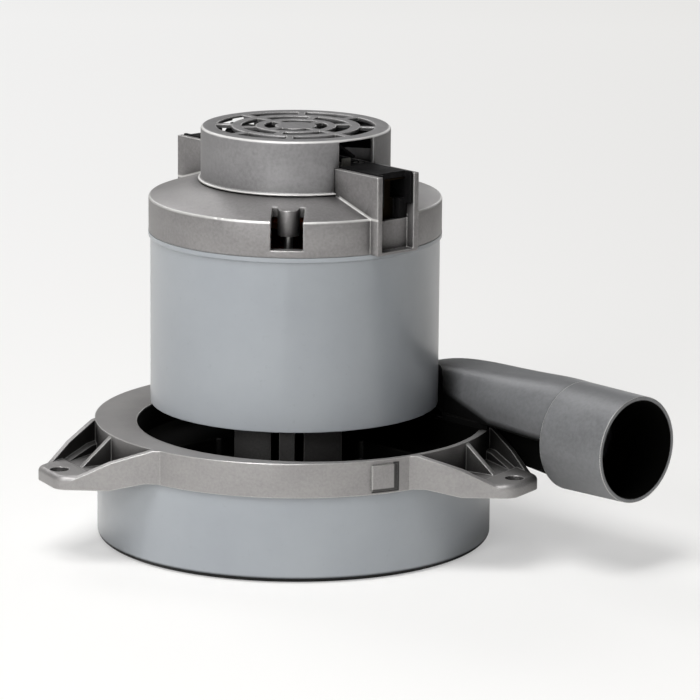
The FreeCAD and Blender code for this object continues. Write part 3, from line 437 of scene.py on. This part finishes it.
def block_feet(tree, point, height):
    """Where the brush blocks' walls meet the cone, as an area of painted highlight for marked().
    """
    along = add(tree, "ShaderNodeVectorMath", {0: point, 1: BLOCK_WAY}, operation="DOT_PRODUCT")
    across = add(tree, "ShaderNodeVectorMath", {0: point, 1: BLOCK_SIDE}, operation="DOT_PRODUCT")
    out = add(tree, "ShaderNodeMath", {0: along}, operation="ABSOLUTE")
    side = add(tree, "ShaderNodeMath", {0: across}, operation="ABSOLUTE")
    cone = add(tree, "ShaderNodeMapRange", {
        "Value": out, "From Min": 43.6, "From Max": 67.5, "To Min": 167.0, "To Max": 159.6})
    here = add(tree, "ShaderNodeCombineXYZ", {"X": side, "Y": height})
    foot = add(tree, "ShaderNodeCombineXYZ", {"X": BLOCK_HALF_WIDTH + 0.25, "Y": cone})
    gap = add(tree, "ShaderNodeVectorMath", {0: here, 1: foot}, operation="DISTANCE")
    return 1.0, (gap, LINE_HIGHLIGHT_WIDTH, 0.5 * LINE_HIGHLIGHT_WIDTH), (out, 44.5, 45.5)


def paint_line_highlights(material, circles, with_block_feet=False):
    """Painted highlights on turned corners, given as circles of a radius and a height round the
    shaft, and at the feet of the brush blocks."""
    tree = material.node_tree
    shader = shader_of(tree)
    point = millimetre_place(tree)
    height = add(tree, "ShaderNodeSeparateXYZ", {"Vector": point}).outputs["Z"]
    radius = distance_from(tree, point, SHAFT)
    here = add(tree, "ShaderNodeCombineXYZ", {"X": radius, "Y": height})
    areas = {}
    for circle in circles:
        gap = add(tree, "ShaderNodeVectorMath", {0: here, 1: (*circle, 0.0)},
                  operation="DISTANCE")
        areas[circle] = (1.0, (gap, LINE_HIGHLIGHT_WIDTH, 0.45 * LINE_HIGHLIGHT_WIDTH))
    if with_block_feet:
        areas["block feet"] = block_feet(tree, point, height)
    skin = shader.inputs["Base Color"].links[0].from_socket
    feed(shader, {"Base Color": toned(
        tree, marked(tree, areas), 0.0, 1.0, skin, LINE_HIGHLIGHT, LINE_HIGHLIGHT_SHARE)})


MATERIALS = {
    "painted_steel": enamelled_steel(),
    # The ring's broad faces are the palest of the castings, and the painted shade in its deep
    # pockets the darkest
    "cast_bracket": cast_aluminium("die_cast_aluminium_ring", "989696", "a8a6a5", 0.46,
                                   1.1, 0.035, 0.8, pocket=22.0),
    # The horn's skin is dull and even, the collar's a little rough, and the cap's nearly paint
    "cast_horn": cast_aluminium("die_cast_aluminium_horn", "7a7b7d", "88898b", 0.44,
                                1.6, 0.02, 0.8, metal=0.45),
    "cast_collar": cast_aluminium("die_cast_aluminium_collar", "898787", "9c9a9a", 0.46,
                                  1.3, 0.04, 0.8),
    "moulded_cover": cast_aluminium("die_cast_aluminium_cap", "7e7d7e", "8e8d8e", 0.46,
                                    1.6, 0.02, 0.9, metal=0.25),
    "phenolic_black": phenolic(),
    # Rolled sheet: pale, with long faint lines
    "fan_aluminium": bare_metal("rolled_fan_aluminium", "a2a3a5", "c2c3c5", 0.36,
                                0.5, (1, 0.04, 0.04), 0.006),
    # Turned and plated: a soft grey shine with rings round the axis
    "steel": bare_metal("zinc_plated_turned_steel", "8f9092", "b4b4b2", 0.34,
                        0.4, (0.08, 0.08, 1), 0.006),
    # Ground and polished: the sharpest reflections of all the pieces
    "bearing_steel": bare_metal("ground_bearing_steel", "a6a6a5", "c0c0be", 0.15,
                                0.3, (0.05, 0.05, 1), 0.002),
    # Sheets of 0.5 mm, drawn twice as thick so that their edges show as fine dark lines
    "lamination_steel": layered("stacked_silicon_steel", "3a3938", "77756f", 0.48, 1.0, 0.9),
    # Wire of 0.9 mm under dark red-brown enamel, which keeps a warm gloss
    "enamelled_copper": layered("enamelled_copper_winding", "240c05", "6e3016", 0.32, 0.9, 0.75,
                                (0.6, 0.6, 0.53)),
    # Freshly cut copper: warm and bright, with the brushes' fine rings
    "commutator_copper": bare_metal("turned_commutator_copper", "9a5634", "c88458", 0.3,
                                    0.35, (0.06, 0.06, 1), 0.006),
    # Old brass: almost black, partly from tarnish and partly as painted shade, since it sits deep
    # in the brush blocks, and with hardly any gloss
    "brass": bare_metal("tarnished_and_shade_darkened_brass", "100d09", "211b12", 0.55,
                        0.4, (1, 0.06, 1), 0.005),
    "carbon": pressed_carbon(),
    # Moulded nitrile rubber: black, matt and even
    "rubber": new_material("moulded_nitrile_rubber", "121212", 0.7)[0],
}
# Tinned brass: pale and soft-bright, on the tabs that lead from the field coils
TINNED = bare_metal("tinned_stamped_brass", "8d8c88", "b9b8b2", 0.35, 0.4, (1, 0.06, 1), 0.005)

paint_shade_over(MATERIALS["painted_steel"], foot_painted_shadow)
paint_shade_over(MATERIALS["cast_bracket"], ring_painted_shade)
paint_shade_over(MATERIALS["cast_horn"], horn_painted_shade)
paint_shade_over(MATERIALS["moulded_cover"], cap_painted_shade)
paint_line_highlights(MATERIALS["cast_collar"], [(67.1, 159.3)], with_block_feet=True)
paint_line_highlights(MATERIALS["moulded_cover"], [(43.1, 191.5), (44.6, 168.0)])


# CAD nodes, finished

# Real rounds on the sharp corners of what is seen closest
CORNER_ROUNDS = {
    "commutator_bracket": CAST_ROUND,
    "vent_cover": MOULDED_ROUND,
    "brush_holder_front": MOULDED_ROUND,
    "brush_holder_rear": MOULDED_ROUND,
}
# Boxes that hold the flash left where the horn's neck leaves the ring
FLASH = {"discharge_horn": ((41.5, 80.0, 44.0), (46.0, 84.0, 55.15))}


def takes_round(edge, width):
    """True where an edge is a real corner, away from curves that are already rounded."""
    if len(edge.link_faces) != 2 or edge.calc_length() < ROUNDED_LENGTH * width:
        return False
    if edge.calc_face_angle() < math.radians(CORNER_ANGLE):
        return False
    neighbours = [other for vertex in edge.verts for other in vertex.link_edges
                  if len(other.link_faces) == 2 and other != edge]
    return not any(CURVE_ANGLE < math.degrees(other.calc_face_angle()) < CORNER_ANGLE
                   for other in neighbours)


def trim_flash(net, low, high):
    """Cuts off what hangs below the top of a box given in millimetres, as flash is cut off a
    casting, and closes the cut."""
    inside = {vertex for vertex in net.verts
              if all(a * MM < c < b * MM for a, c, b in zip(low, vertex.co, high))}
    faces = [face for face in net.faces if inside.intersection(face.verts)]
    flash = set(faces)
    edges = [edge for edge in net.edges if flash.intersection(edge.link_faces)]
    corners = [vertex for vertex in net.verts if flash.intersection(vertex.link_faces)]
    cut = bmesh.ops.bisect_plane(net, geom=[*corners, *edges, *faces], dist=ON_CUT * MM,
                                 plane_co=(0, 0, high[2] * MM), plane_no=(0, 0, 1),
                                 clear_inner=True)
    rim = [part for part in cut["geom_cut"] if isinstance(part, bmesh.types.BMEdge)]
    bmesh.ops.holes_fill(net, edges=rim)


def evaluated_mesh(piece):
    """A piece's mesh with its modifiers run, as plain data."""
    graph = bpy.context.evaluated_depsgraph_get()
    return bpy.data.meshes.new_from_object(piece.evaluated_get(graph))


def finished_copy(node, corner_round):
    """A CAD node's mesh, welded, smooth on its curves and with a small real round on its
    corners."""
    source = nodes[node]
    mesh = source.data.copy()
    stored = mesh.attributes.get("custom_normal")
    if stored:
        mesh.attributes.remove(stored)
    piece = bpy.data.objects.new(node + "_finished", mesh)
    scene.collection.objects.link(piece)
    net = bmesh.new()
    net.from_mesh(mesh)
    bmesh.ops.remove_doubles(net, verts=net.verts, dist=WELD * MM)
    if node in FLASH:
        trim_flash(net, *FLASH[node])
    if corner_round:
        weight = net.edges.layers.float.new("bevel_weight_edge")
        for edge in net.edges:
            edge[weight] = 1.0 if takes_round(edge, corner_round * MM) else 0.0
    net.to_mesh(mesh)
    net.free()
    if corner_round:
        bevel = piece.modifiers.new("corner_round", "BEVEL")
        bevel.width = corner_round * MM
        bevel.segments = 2
        bevel.limit_method = "WEIGHT"
        bevel.use_clamp_overlap = False
        rounded = evaluated_mesh(piece)
        piece.modifiers.clear()
        piece.data = rounded
    piece.data.shade_smooth()
    piece.data.set_sharp_from_angle(angle=math.radians(SHARP_ANGLE))
    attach(piece, source["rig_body"])
    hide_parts(node)
    return piece


# Nodes that finer pieces replace, made by Geometry Nodes further down
MADE_BELOW = {"horn_screws", "retainer_screws", "holder_screws", "lower_bearing_balls",
              "upper_bearing_balls", "brush_spring_front", "brush_spring_rear"}

for name in sorted(set(nodes) - MADE_BELOW):
    slot = nodes[name].data.materials[0].name
    piece = finished_copy(name, CORNER_ROUNDS.get(name, 0.0))
    piece.data.materials.clear()
    piece.data.materials.append(TINNED if name.startswith("field_tab") else MATERIALS[slot])


# What repeats or follows a path, made by Geometry Nodes

def geometry_tree(name, sizes):
    """A tree with a geometry input, a material input, and sizes in metres or counts, each given
    as a label, its kind and the value it has until it is set."""
    tree = bpy.data.node_groups.new(name, "GeometryNodeTree")
    tree.interface.new_socket("Geometry", in_out="INPUT", socket_type="NodeSocketGeometry")
    tree.interface.new_socket("Material", in_out="INPUT", socket_type="NodeSocketMaterial")
    for label, kind, value in sizes:
        socket = tree.interface.new_socket(label, in_out="INPUT",
                                           socket_type="NodeSocket" + kind)
        socket.default_value = value
    tree.interface.new_socket("Geometry", in_out="OUTPUT", socket_type="NodeSocketGeometry")
    return tree, add(tree, "NodeGroupInput").outputs


def close_tree(tree, copies, material):
    """Makes the copies real, gives them smooth faces and the material, and ends the tree."""
    real = add(tree, "GeometryNodeRealizeInstances", {"Geometry": copies})
    smooth = add(tree, "GeometryNodeSetShadeSmooth", {"Geometry": real, "Shade Smooth": True})
    painted = add(tree, "GeometryNodeSetMaterial", {"Geometry": smooth, "Material": material})
    add(tree, "NodeGroupOutput", {"Geometry": painted})


def wire_tree():
    """Round wire along the edges it is given, and its copies turned evenly about the shaft."""
    tree, given = geometry_tree("laid_wire", [
        ("Wire Radius", "Float", 0.0005), ("Sides", "Int", 8), ("Copies", "Int", 1)])
    path = add(tree, "GeometryNodeMeshToCurve", {"Mesh": given["Geometry"]})
    section = add(tree, "GeometryNodeCurvePrimitiveCircle", {
        "Resolution": given["Sides"], "Radius": given["Wire Radius"]})
    wire = add(tree, "GeometryNodeCurveToMesh", {
        "Curve": path, "Profile Curve": section, "Fill Caps": True})
    centres = add(tree, "GeometryNodeMeshLine", {"Count": given["Copies"], "Offset": (0, 0, 0)})
    number = add(tree, "GeometryNodeInputIndex")
    pitch = add(tree, "ShaderNodeMath", {0: 2 * math.pi, 1: given["Copies"]},
                operation="DIVIDE")
    turn = add(tree, "ShaderNodeMath", {0: number, 1: pitch}, operation="MULTIPLY")
    spin = add(tree, "ShaderNodeCombineXYZ", {"Z": turn})
    copies = add(tree, "GeometryNodeInstanceOnPoints", {
        "Points": centres, "Instance": wire, "Rotation": spin})
    close_tree(tree, copies, given["Material"])
    return tree


def ball_tree():
    """Balls spread evenly round the shaft at one height."""
    tree, given = geometry_tree("ball_circle", [
        ("Ball Radius", "Float", 0.003), ("Pitch Radius", "Float", 0.01),
        ("Height", "Float", 0.0), ("Count", "Int", 8)])
    circle = add(tree, "GeometryNodeMeshCircle", {
        "Vertices": given["Count"], "Radius": given["Pitch Radius"]})
    lift = add(tree, "ShaderNodeCombineXYZ", {"Z": given["Height"]})
    track = add(tree, "GeometryNodeTransform", {
        "Geometry": circle, "Translation": lift, "Rotation": (0, 0, -math.pi / 2)})
    ball = add(tree, "GeometryNodeMeshIcoSphere", {
        "Radius": given["Ball Radius"], "Subdivisions": 4})
    balls = add(tree, "GeometryNodeInstanceOnPoints", {"Points": track, "Instance": ball})
    close_tree(tree, balls, given["Material"])
    return tree


# A screw's shares: of its head that is straight below the dome, of the head's radius that the
# slot's cutter reaches, of its length that is threaded, where the thread starts, and of the pitch
# that the thread's ridge stands out
HEAD_WALL = 0.78
CUTTER_REACH = 3.0
THREADED = 0.72
THREAD_START = 0.98
THREAD_RIDGE = 0.3


def screw_tree():
    """A slotted cheese-head screw on each point given, head up, with a rolled thread down its
    shank."""
    tree, given = geometry_tree("slotted_screw", [
        ("Head Radius", "Float", 0.003), ("Head Height", "Float", 0.002),
        ("Shank Radius", "Float", 0.0015), ("Length", "Float", 0.01),
        ("Slot Width", "Float", 0.0008), ("Pitch", "Float", 0.0007)])

    def share(size, part):
        """A part of one of the screw's sizes."""
        return add(tree, "ShaderNodeMath", {0: size, 1: part}, operation="MULTIPLY")

    def lifted(geometry, height):
        """A shape moved along the screw."""
        offset = add(tree, "ShaderNodeCombineXYZ", {"Z": height})
        return add(tree, "GeometryNodeTransform", {"Geometry": geometry, "Translation": offset})

    wall_height = share(given["Head Height"], HEAD_WALL)
    dome_height = add(tree, "ShaderNodeMath", {0: given["Head Height"], 1: wall_height},
                      operation="SUBTRACT")
    top_radius = add(tree, "ShaderNodeMath", {0: given["Head Radius"], 1: dome_height},
                     operation="SUBTRACT")
    wall = add(tree, "GeometryNodeMeshCylinder", {
        "Vertices": 48, "Radius": given["Head Radius"], "Depth": wall_height})
    dome = add(tree, "GeometryNodeMeshCone", {
        "Vertices": 48, "Radius Top": top_radius, "Radius Bottom": given["Head Radius"],
        "Depth": dome_height})
    stacked = add(tree, "GeometryNodeJoinGeometry", {
        "Geometry": [lifted(wall, share(wall_height, 0.5)), lifted(dome, wall_height)]})
    head = add(tree, "GeometryNodeMeshBoolean", {"Mesh 2": stacked, "Self Intersection": True},
               operation="UNION", solver="EXACT")
    cutter_size = add(tree, "ShaderNodeCombineXYZ", {
        "X": given["Slot Width"], "Y": share(given["Head Radius"], CUTTER_REACH),
        "Z": given["Head Height"]})
    cutter = add(tree, "GeometryNodeMeshCube", {"Size": cutter_size})
    slotted = add(tree, "GeometryNodeMeshBoolean", {
        "Mesh 1": head, "Mesh 2": lifted(cutter, given["Head Height"])},
        operation="DIFFERENCE", solver="EXACT")
    shank = add(tree, "GeometryNodeMeshCylinder", {
        "Vertices": 32, "Radius": given["Shank Radius"], "Depth": given["Length"]})
    thread_length = share(given["Length"], THREADED)
    turns = add(tree, "ShaderNodeMath", {0: thread_length, 1: given["Pitch"]},
                operation="DIVIDE")
    helix = add(tree, "GeometryNodeCurveSpiral", {
        "Resolution": 20, "Rotations": turns, "Start Radius": given["Shank Radius"],
        "End Radius": given["Shank Radius"], "Height": thread_length})
    ridge = add(tree, "GeometryNodeCurvePrimitiveCircle", {
        "Resolution": 4, "Radius": share(given["Pitch"], THREAD_RIDGE)})
    thread = add(tree, "GeometryNodeCurveToMesh", {
        "Curve": helix, "Profile Curve": ridge, "Fill Caps": True})
    whole = add(tree, "GeometryNodeJoinGeometry", {
        "Geometry": [slotted, lifted(shank, share(given["Length"], -0.5)),
                     lifted(thread, share(given["Length"], -THREAD_START))]})
    screws = add(tree, "GeometryNodeInstanceOnPoints", {
        "Points": given["Geometry"], "Instance": whole})
    close_tree(tree, screws, given["Material"])
    return tree


def grown(name, tree, slot, body, values, points=(), edges=()):
    """Runs a tree on points and edges given in metres, and rides the plain mesh on a body."""
    seed = bpy.data.meshes.new(name)
    seed.from_pydata([tuple(point) for point in points], list(edges), [])
    piece = bpy.data.objects.new(name, seed)
    scene.collection.objects.link(piece)
    modifier = piece.modifiers.new(tree.name, "NODES")
    modifier.node_group = tree
    values = dict(values, Material=MATERIALS[slot])
    for item in tree.interface.items_tree:
        if item.in_out == "INPUT" and item.name in values:
            modifier[item.identifier] = values[item.name]
    mesh = evaluated_mesh(piece)
    piece.modifiers.clear()
    piece.data = mesh
    mesh.set_sharp_from_angle(angle=math.radians(SHARP_ANGLE))
    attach(piece, body)
    return piece


def solid_boxes(node):
    """The box of each separate solid of a CAD node, as (low, high) corners in metres."""
    net = bmesh.new()
    net.from_mesh(nodes[node].data)
    bmesh.ops.remove_doubles(net, verts=net.verts, dist=WELD * MM)
    left, boxes = set(net.verts), []
    while left:
        solid, waiting = [], [left.pop()]
        while waiting:
            vertex = waiting.pop()
            solid.append(vertex.co)
            for edge in vertex.link_edges:
                other = edge.other_vert(vertex)
                if other in left:
                    left.discard(other)
                    waiting.append(other)
        boxes.append((Vector([min(place[axis] for place in solid) for axis in range(3)]),
                      Vector([max(place[axis] for place in solid) for axis in range(3)])))
    net.free()
    return sorted(boxes, key=lambda box: tuple(box[0]))


def chain(points):
    """The edges that join points one after another."""
    return [(start, start + 1) for start in range(len(points) - 1)]


# Screws: head height, shank radius and slot width; the rest comes from their CAD boxes. The
# thread's ridge stands out from a shank that is thinner by its depth.
SCREWS = {
    "horn_screws": (2.4, 1.9, 1.2),
    "retainer_screws": (1.6, 1.25, 0.7),
    "holder_screws": (1.4, 1.3, 0.7),
}
THREAD_PITCH = 0.7
THREAD_DEPTH = 0.15
screw = screw_tree()
for node, (head_height, shank_radius, slot_width) in SCREWS.items():
    boxes = solid_boxes(node)
    low, high = boxes[0]
    points = [((a.x + b.x) / 2, (a.y + b.y) / 2, b.z - head_height * MM) for a, b in boxes]
    made = grown(node + "_slotted", screw, "steel", nodes[node]["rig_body"], {
        "Head Radius": (high.x - low.x) / 2,
        "Head Height": head_height * MM,
        "Shank Radius": (shank_radius - THREAD_DEPTH) * MM,
        "Length": high.z - low.z - head_height * MM,
        "Slot Width": slot_width * MM,
        "Pitch": THREAD_PITCH * MM}, points)
    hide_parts(node)

# Balls: pitch radius, height of the centres and ball radius, and their number
BALLS = {
    "lower_bearing_balls": (14.25, 52.0, 3.3, 8),
    "upper_bearing_balls": (7.5, 177.0, 1.9, 7),
}
ball = ball_tree()
for node, (pitch_radius, height, radius, count) in BALLS.items():
    made = grown(node + "_polished", ball, "bearing_steel", nodes[node]["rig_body"], {
        "Ball Radius": radius * MM, "Pitch Radius": pitch_radius * MM, "Height": height * MM,
        "Count": count})
    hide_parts(node)

# Brush springs: a helix outwards from the brush's end.
SPRING_START = 50.48
SPRING_LENGTH = 11.12
SPRING_RADIUS = 2.3
SPRING_WIRE_RADIUS = 0.3
SPRING_TURNS = 6
SPRING_STEPS_A_TURN = 32
wire = wire_tree()
for name, sign in (("front", 1), ("rear", -1)):
    out = Vector(BLOCK_WAY) * sign
    across = Vector(BLOCK_SIDE) * sign
    helix = []
    for step in range(SPRING_TURNS * SPRING_STEPS_A_TURN + 1):
        share = step / (SPRING_TURNS * SPRING_STEPS_A_TURN)
        turn = 2 * math.pi * SPRING_TURNS * share
        height = BRUSH_HEIGHT + SPRING_RADIUS * math.sin(turn)
        helix.append((out * (SPRING_START + SPRING_LENGTH * share)
                      + across * (SPRING_RADIUS * math.cos(turn))
                      + Vector((0, 0, height))) * MM)
    made = grown("brush_spring_" + name + "_wound", wire, "steel", "frame", {
        "Wire Radius": SPRING_WIRE_RADIUS * MM, "Sides": 10}, helix, chain(helix))
    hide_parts("brush_spring_" + name)
    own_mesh(made)

# The armature's end turns: each wire's (radius, height) as it spirals over the winding's end from
# the core to the shaft or the commutator, the degrees that it turns on its way, and how many
END_TURNS = {
    "lower": ([(25.2, 83.6), (24.9, 80.0), (24.2, 77.6), (22.6, 76.0), (19.0, 75.0),
               (15.0, 74.0), (12.0, 73.6), (10.2, 74.2), (9.3, 76.0)], 150.0, 72),
    "upper": ([(25.2, 124.4), (24.9, 128.0), (24.4, 131.0), (23.2, 133.2), (20.6, 134.6),
               (18.0, 136.0), (16.2, 138.0), (16.6, 142.0), (18.0, 146.4)], 130.0, 66),
}
END_WIRE_RADIUS = 0.5
STEPS_A_STRETCH = 6


def spiral(profile, twist):
    """A wire's way in metres along a profile of (radius, height), turned by a twist in degrees."""
    stretches = list(zip(profile, profile[1:]))
    way = []
    for step in range(len(stretches) * STEPS_A_STRETCH + 1):
        number = min(step // STEPS_A_STRETCH, len(stretches) - 1)
        (radius, height), (next_radius, next_height) = stretches[number]
        share = step / STEPS_A_STRETCH - number
        angle = math.radians(twist) * step / (len(stretches) * STEPS_A_STRETCH)
        reach = radius + (next_radius - radius) * share
        way.append(Vector((reach * math.cos(angle), reach * math.sin(angle),
                           height + (next_height - height) * share)) * MM)
    return way


for name, (profile, twist, count) in END_TURNS.items():
    way = spiral(profile, twist)
    grown("armature_end_turns_" + name, wire, "enamelled_copper", "rotor", {
        "Wire Radius": END_WIRE_RADIUS * MM, "Sides": 6, "Copies": count}, way, chain(way))


# Stage: places and sizes in metres

FLOOR_HALF_SIDE = 6.0
FLOOR_DROP = 0.0002

# Soft lamps: place, side of the square, and power in watts
LAMPS = {
    "key": ((-0.75, -1.85, 0.95), 0.8, 15.0),
    "top": ((-0.35, -0.75, 1.8), 0.9, 29.0),
    "rear": ((-0.8, 1.2, 1.3), 0.8, 7.0),
    "fill": ((0.75, 2.2, 0.8), 1.0, 6.0),
}
LAMP_TARGET = (0.0, 0.0, 0.1)

# Where the room is brightest, seen from the motor
BRIGHT_SIDE = (-0.85, -0.3, 0.4)


def stage():
    """A matt paper sweep. The camera sees it white, with a painted fall-off of light to a pale
    grey away to the right, and still sees the shadow on it."""
    mesh = bpy.data.meshes.new("floor")
    net = bmesh.new()
    bmesh.ops.create_grid(net, x_segments=1, y_segments=1, size=FLOOR_HALF_SIDE)
    net.to_mesh(mesh)
    net.free()
    floor = bpy.data.objects.new("floor", mesh)
    floor.location.z = -FLOOR_DROP
    scene.collection.objects.link(floor)
    material, tree, shader, place = new_material("matt_paper_sweep", "f7f6f4", 0.95)
    right, back, _ = add(tree, "ShaderNodeSeparateXYZ", {"Vector": place}).outputs
    away = add(tree, "ShaderNodeMath", {0: back, 1: 0.5, 2: right}, operation="MULTIPLY_ADD")
    white = add(tree, "ShaderNodeEmission", {
        "Color": toned(tree, away, 0.05, 1.3, "ffffff", "e9e8e6"), "Strength": 1.0})
    camera_ray = add(tree, "ShaderNodeLightPath").outputs["Is Camera Ray"]
    depth = add(tree, "ShaderNodeMapRange", {
        "Value": back, "From Min": 0.2, "From Max": 1.6, "To Min": 0.4, "To Max": 0.85})
    share = add(tree, "ShaderNodeMath", {0: camera_ray, 1: depth}, operation="MULTIPLY")
    output = next(node for node in tree.nodes if node.type == "OUTPUT_MATERIAL")
    feed(output, {"Surface": add(tree, "ShaderNodeMixShader", {0: share, 1: shader, 2: white})})
    floor.data.materials.append(material)
    floor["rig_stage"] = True


def light():
    """Soft lamps that all look at the middle of the motor."""
    for name, (place, side, power) in LAMPS.items():
        data = bpy.data.lights.new(name, "AREA")
        data.size = side
        data.energy = power
        lamp = bpy.data.objects.new(name, data)
        lamp.location = place
        lamp.rotation_mode = "QUATERNION"
        lamp.rotation_quaternion = (Vector(LAMP_TARGET) - Vector(place)).to_track_quat("-Z", "Y")
        scene.collection.objects.link(lamp)


def world():
    """A dim white room, brighter on one side, which the camera sees as a pale backdrop."""
    room = bpy.data.worlds.new("studio_white")
    room.use_nodes = True
    tree = room.node_tree
    tree.nodes.clear()
    way = add(tree, "ShaderNodeTexCoord").outputs["Generated"]
    side = add(tree, "ShaderNodeVectorMath", {0: way, 1: BRIGHT_SIDE}, operation="DOT_PRODUCT")
    strength = add(tree, "ShaderNodeMapRange", {
        "Value": side, "From Min": -0.6, "From Max": 0.8, "To Min": 0.02, "To Max": 0.16})
    glow = add(tree, "ShaderNodeBackground", {"Color": "fffcf7", "Strength": strength})
    seen = add(tree, "ShaderNodeBackground", {"Color": "f4f2f0", "Strength": 1.0})
    camera_ray = add(tree, "ShaderNodeLightPath").outputs["Is Camera Ray"]
    both = add(tree, "ShaderNodeMixShader", {0: camera_ray, 1: glow, 2: seen})
    add(tree, "ShaderNodeOutputWorld", {"Surface": both})
    scene.world = room


def camera():
    """The photograph's viewpoint."""
    data = bpy.data.cameras.new("camera")
    data.sensor_width = SENSOR_WIDTH
    data.lens = SENSOR_WIDTH * FOCAL_PIXELS / IMAGE_SIDE
    data.clip_start, data.clip_end = 0.05, 60.0
    view = bpy.data.objects.new("camera", data)
    turn = Matrix.Rotation(math.radians(CAMERA_TURN), 4, "Z")
    tilt = Matrix.Rotation(math.radians(90 + CAMERA_PITCH), 4, "X")
    roll = Matrix.Rotation(math.radians(CAMERA_ROLL), 4, "Z")
    place = Matrix.Translation([c * MM for c in CAMERA_PLACE])
    view.matrix_world = place @ turn @ tilt @ roll
    scene.collection.objects.link(view)
    scene.camera = view


stage()
light()
world()
camera()

scene.view_settings.view_transform = "Standard"
low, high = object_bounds()
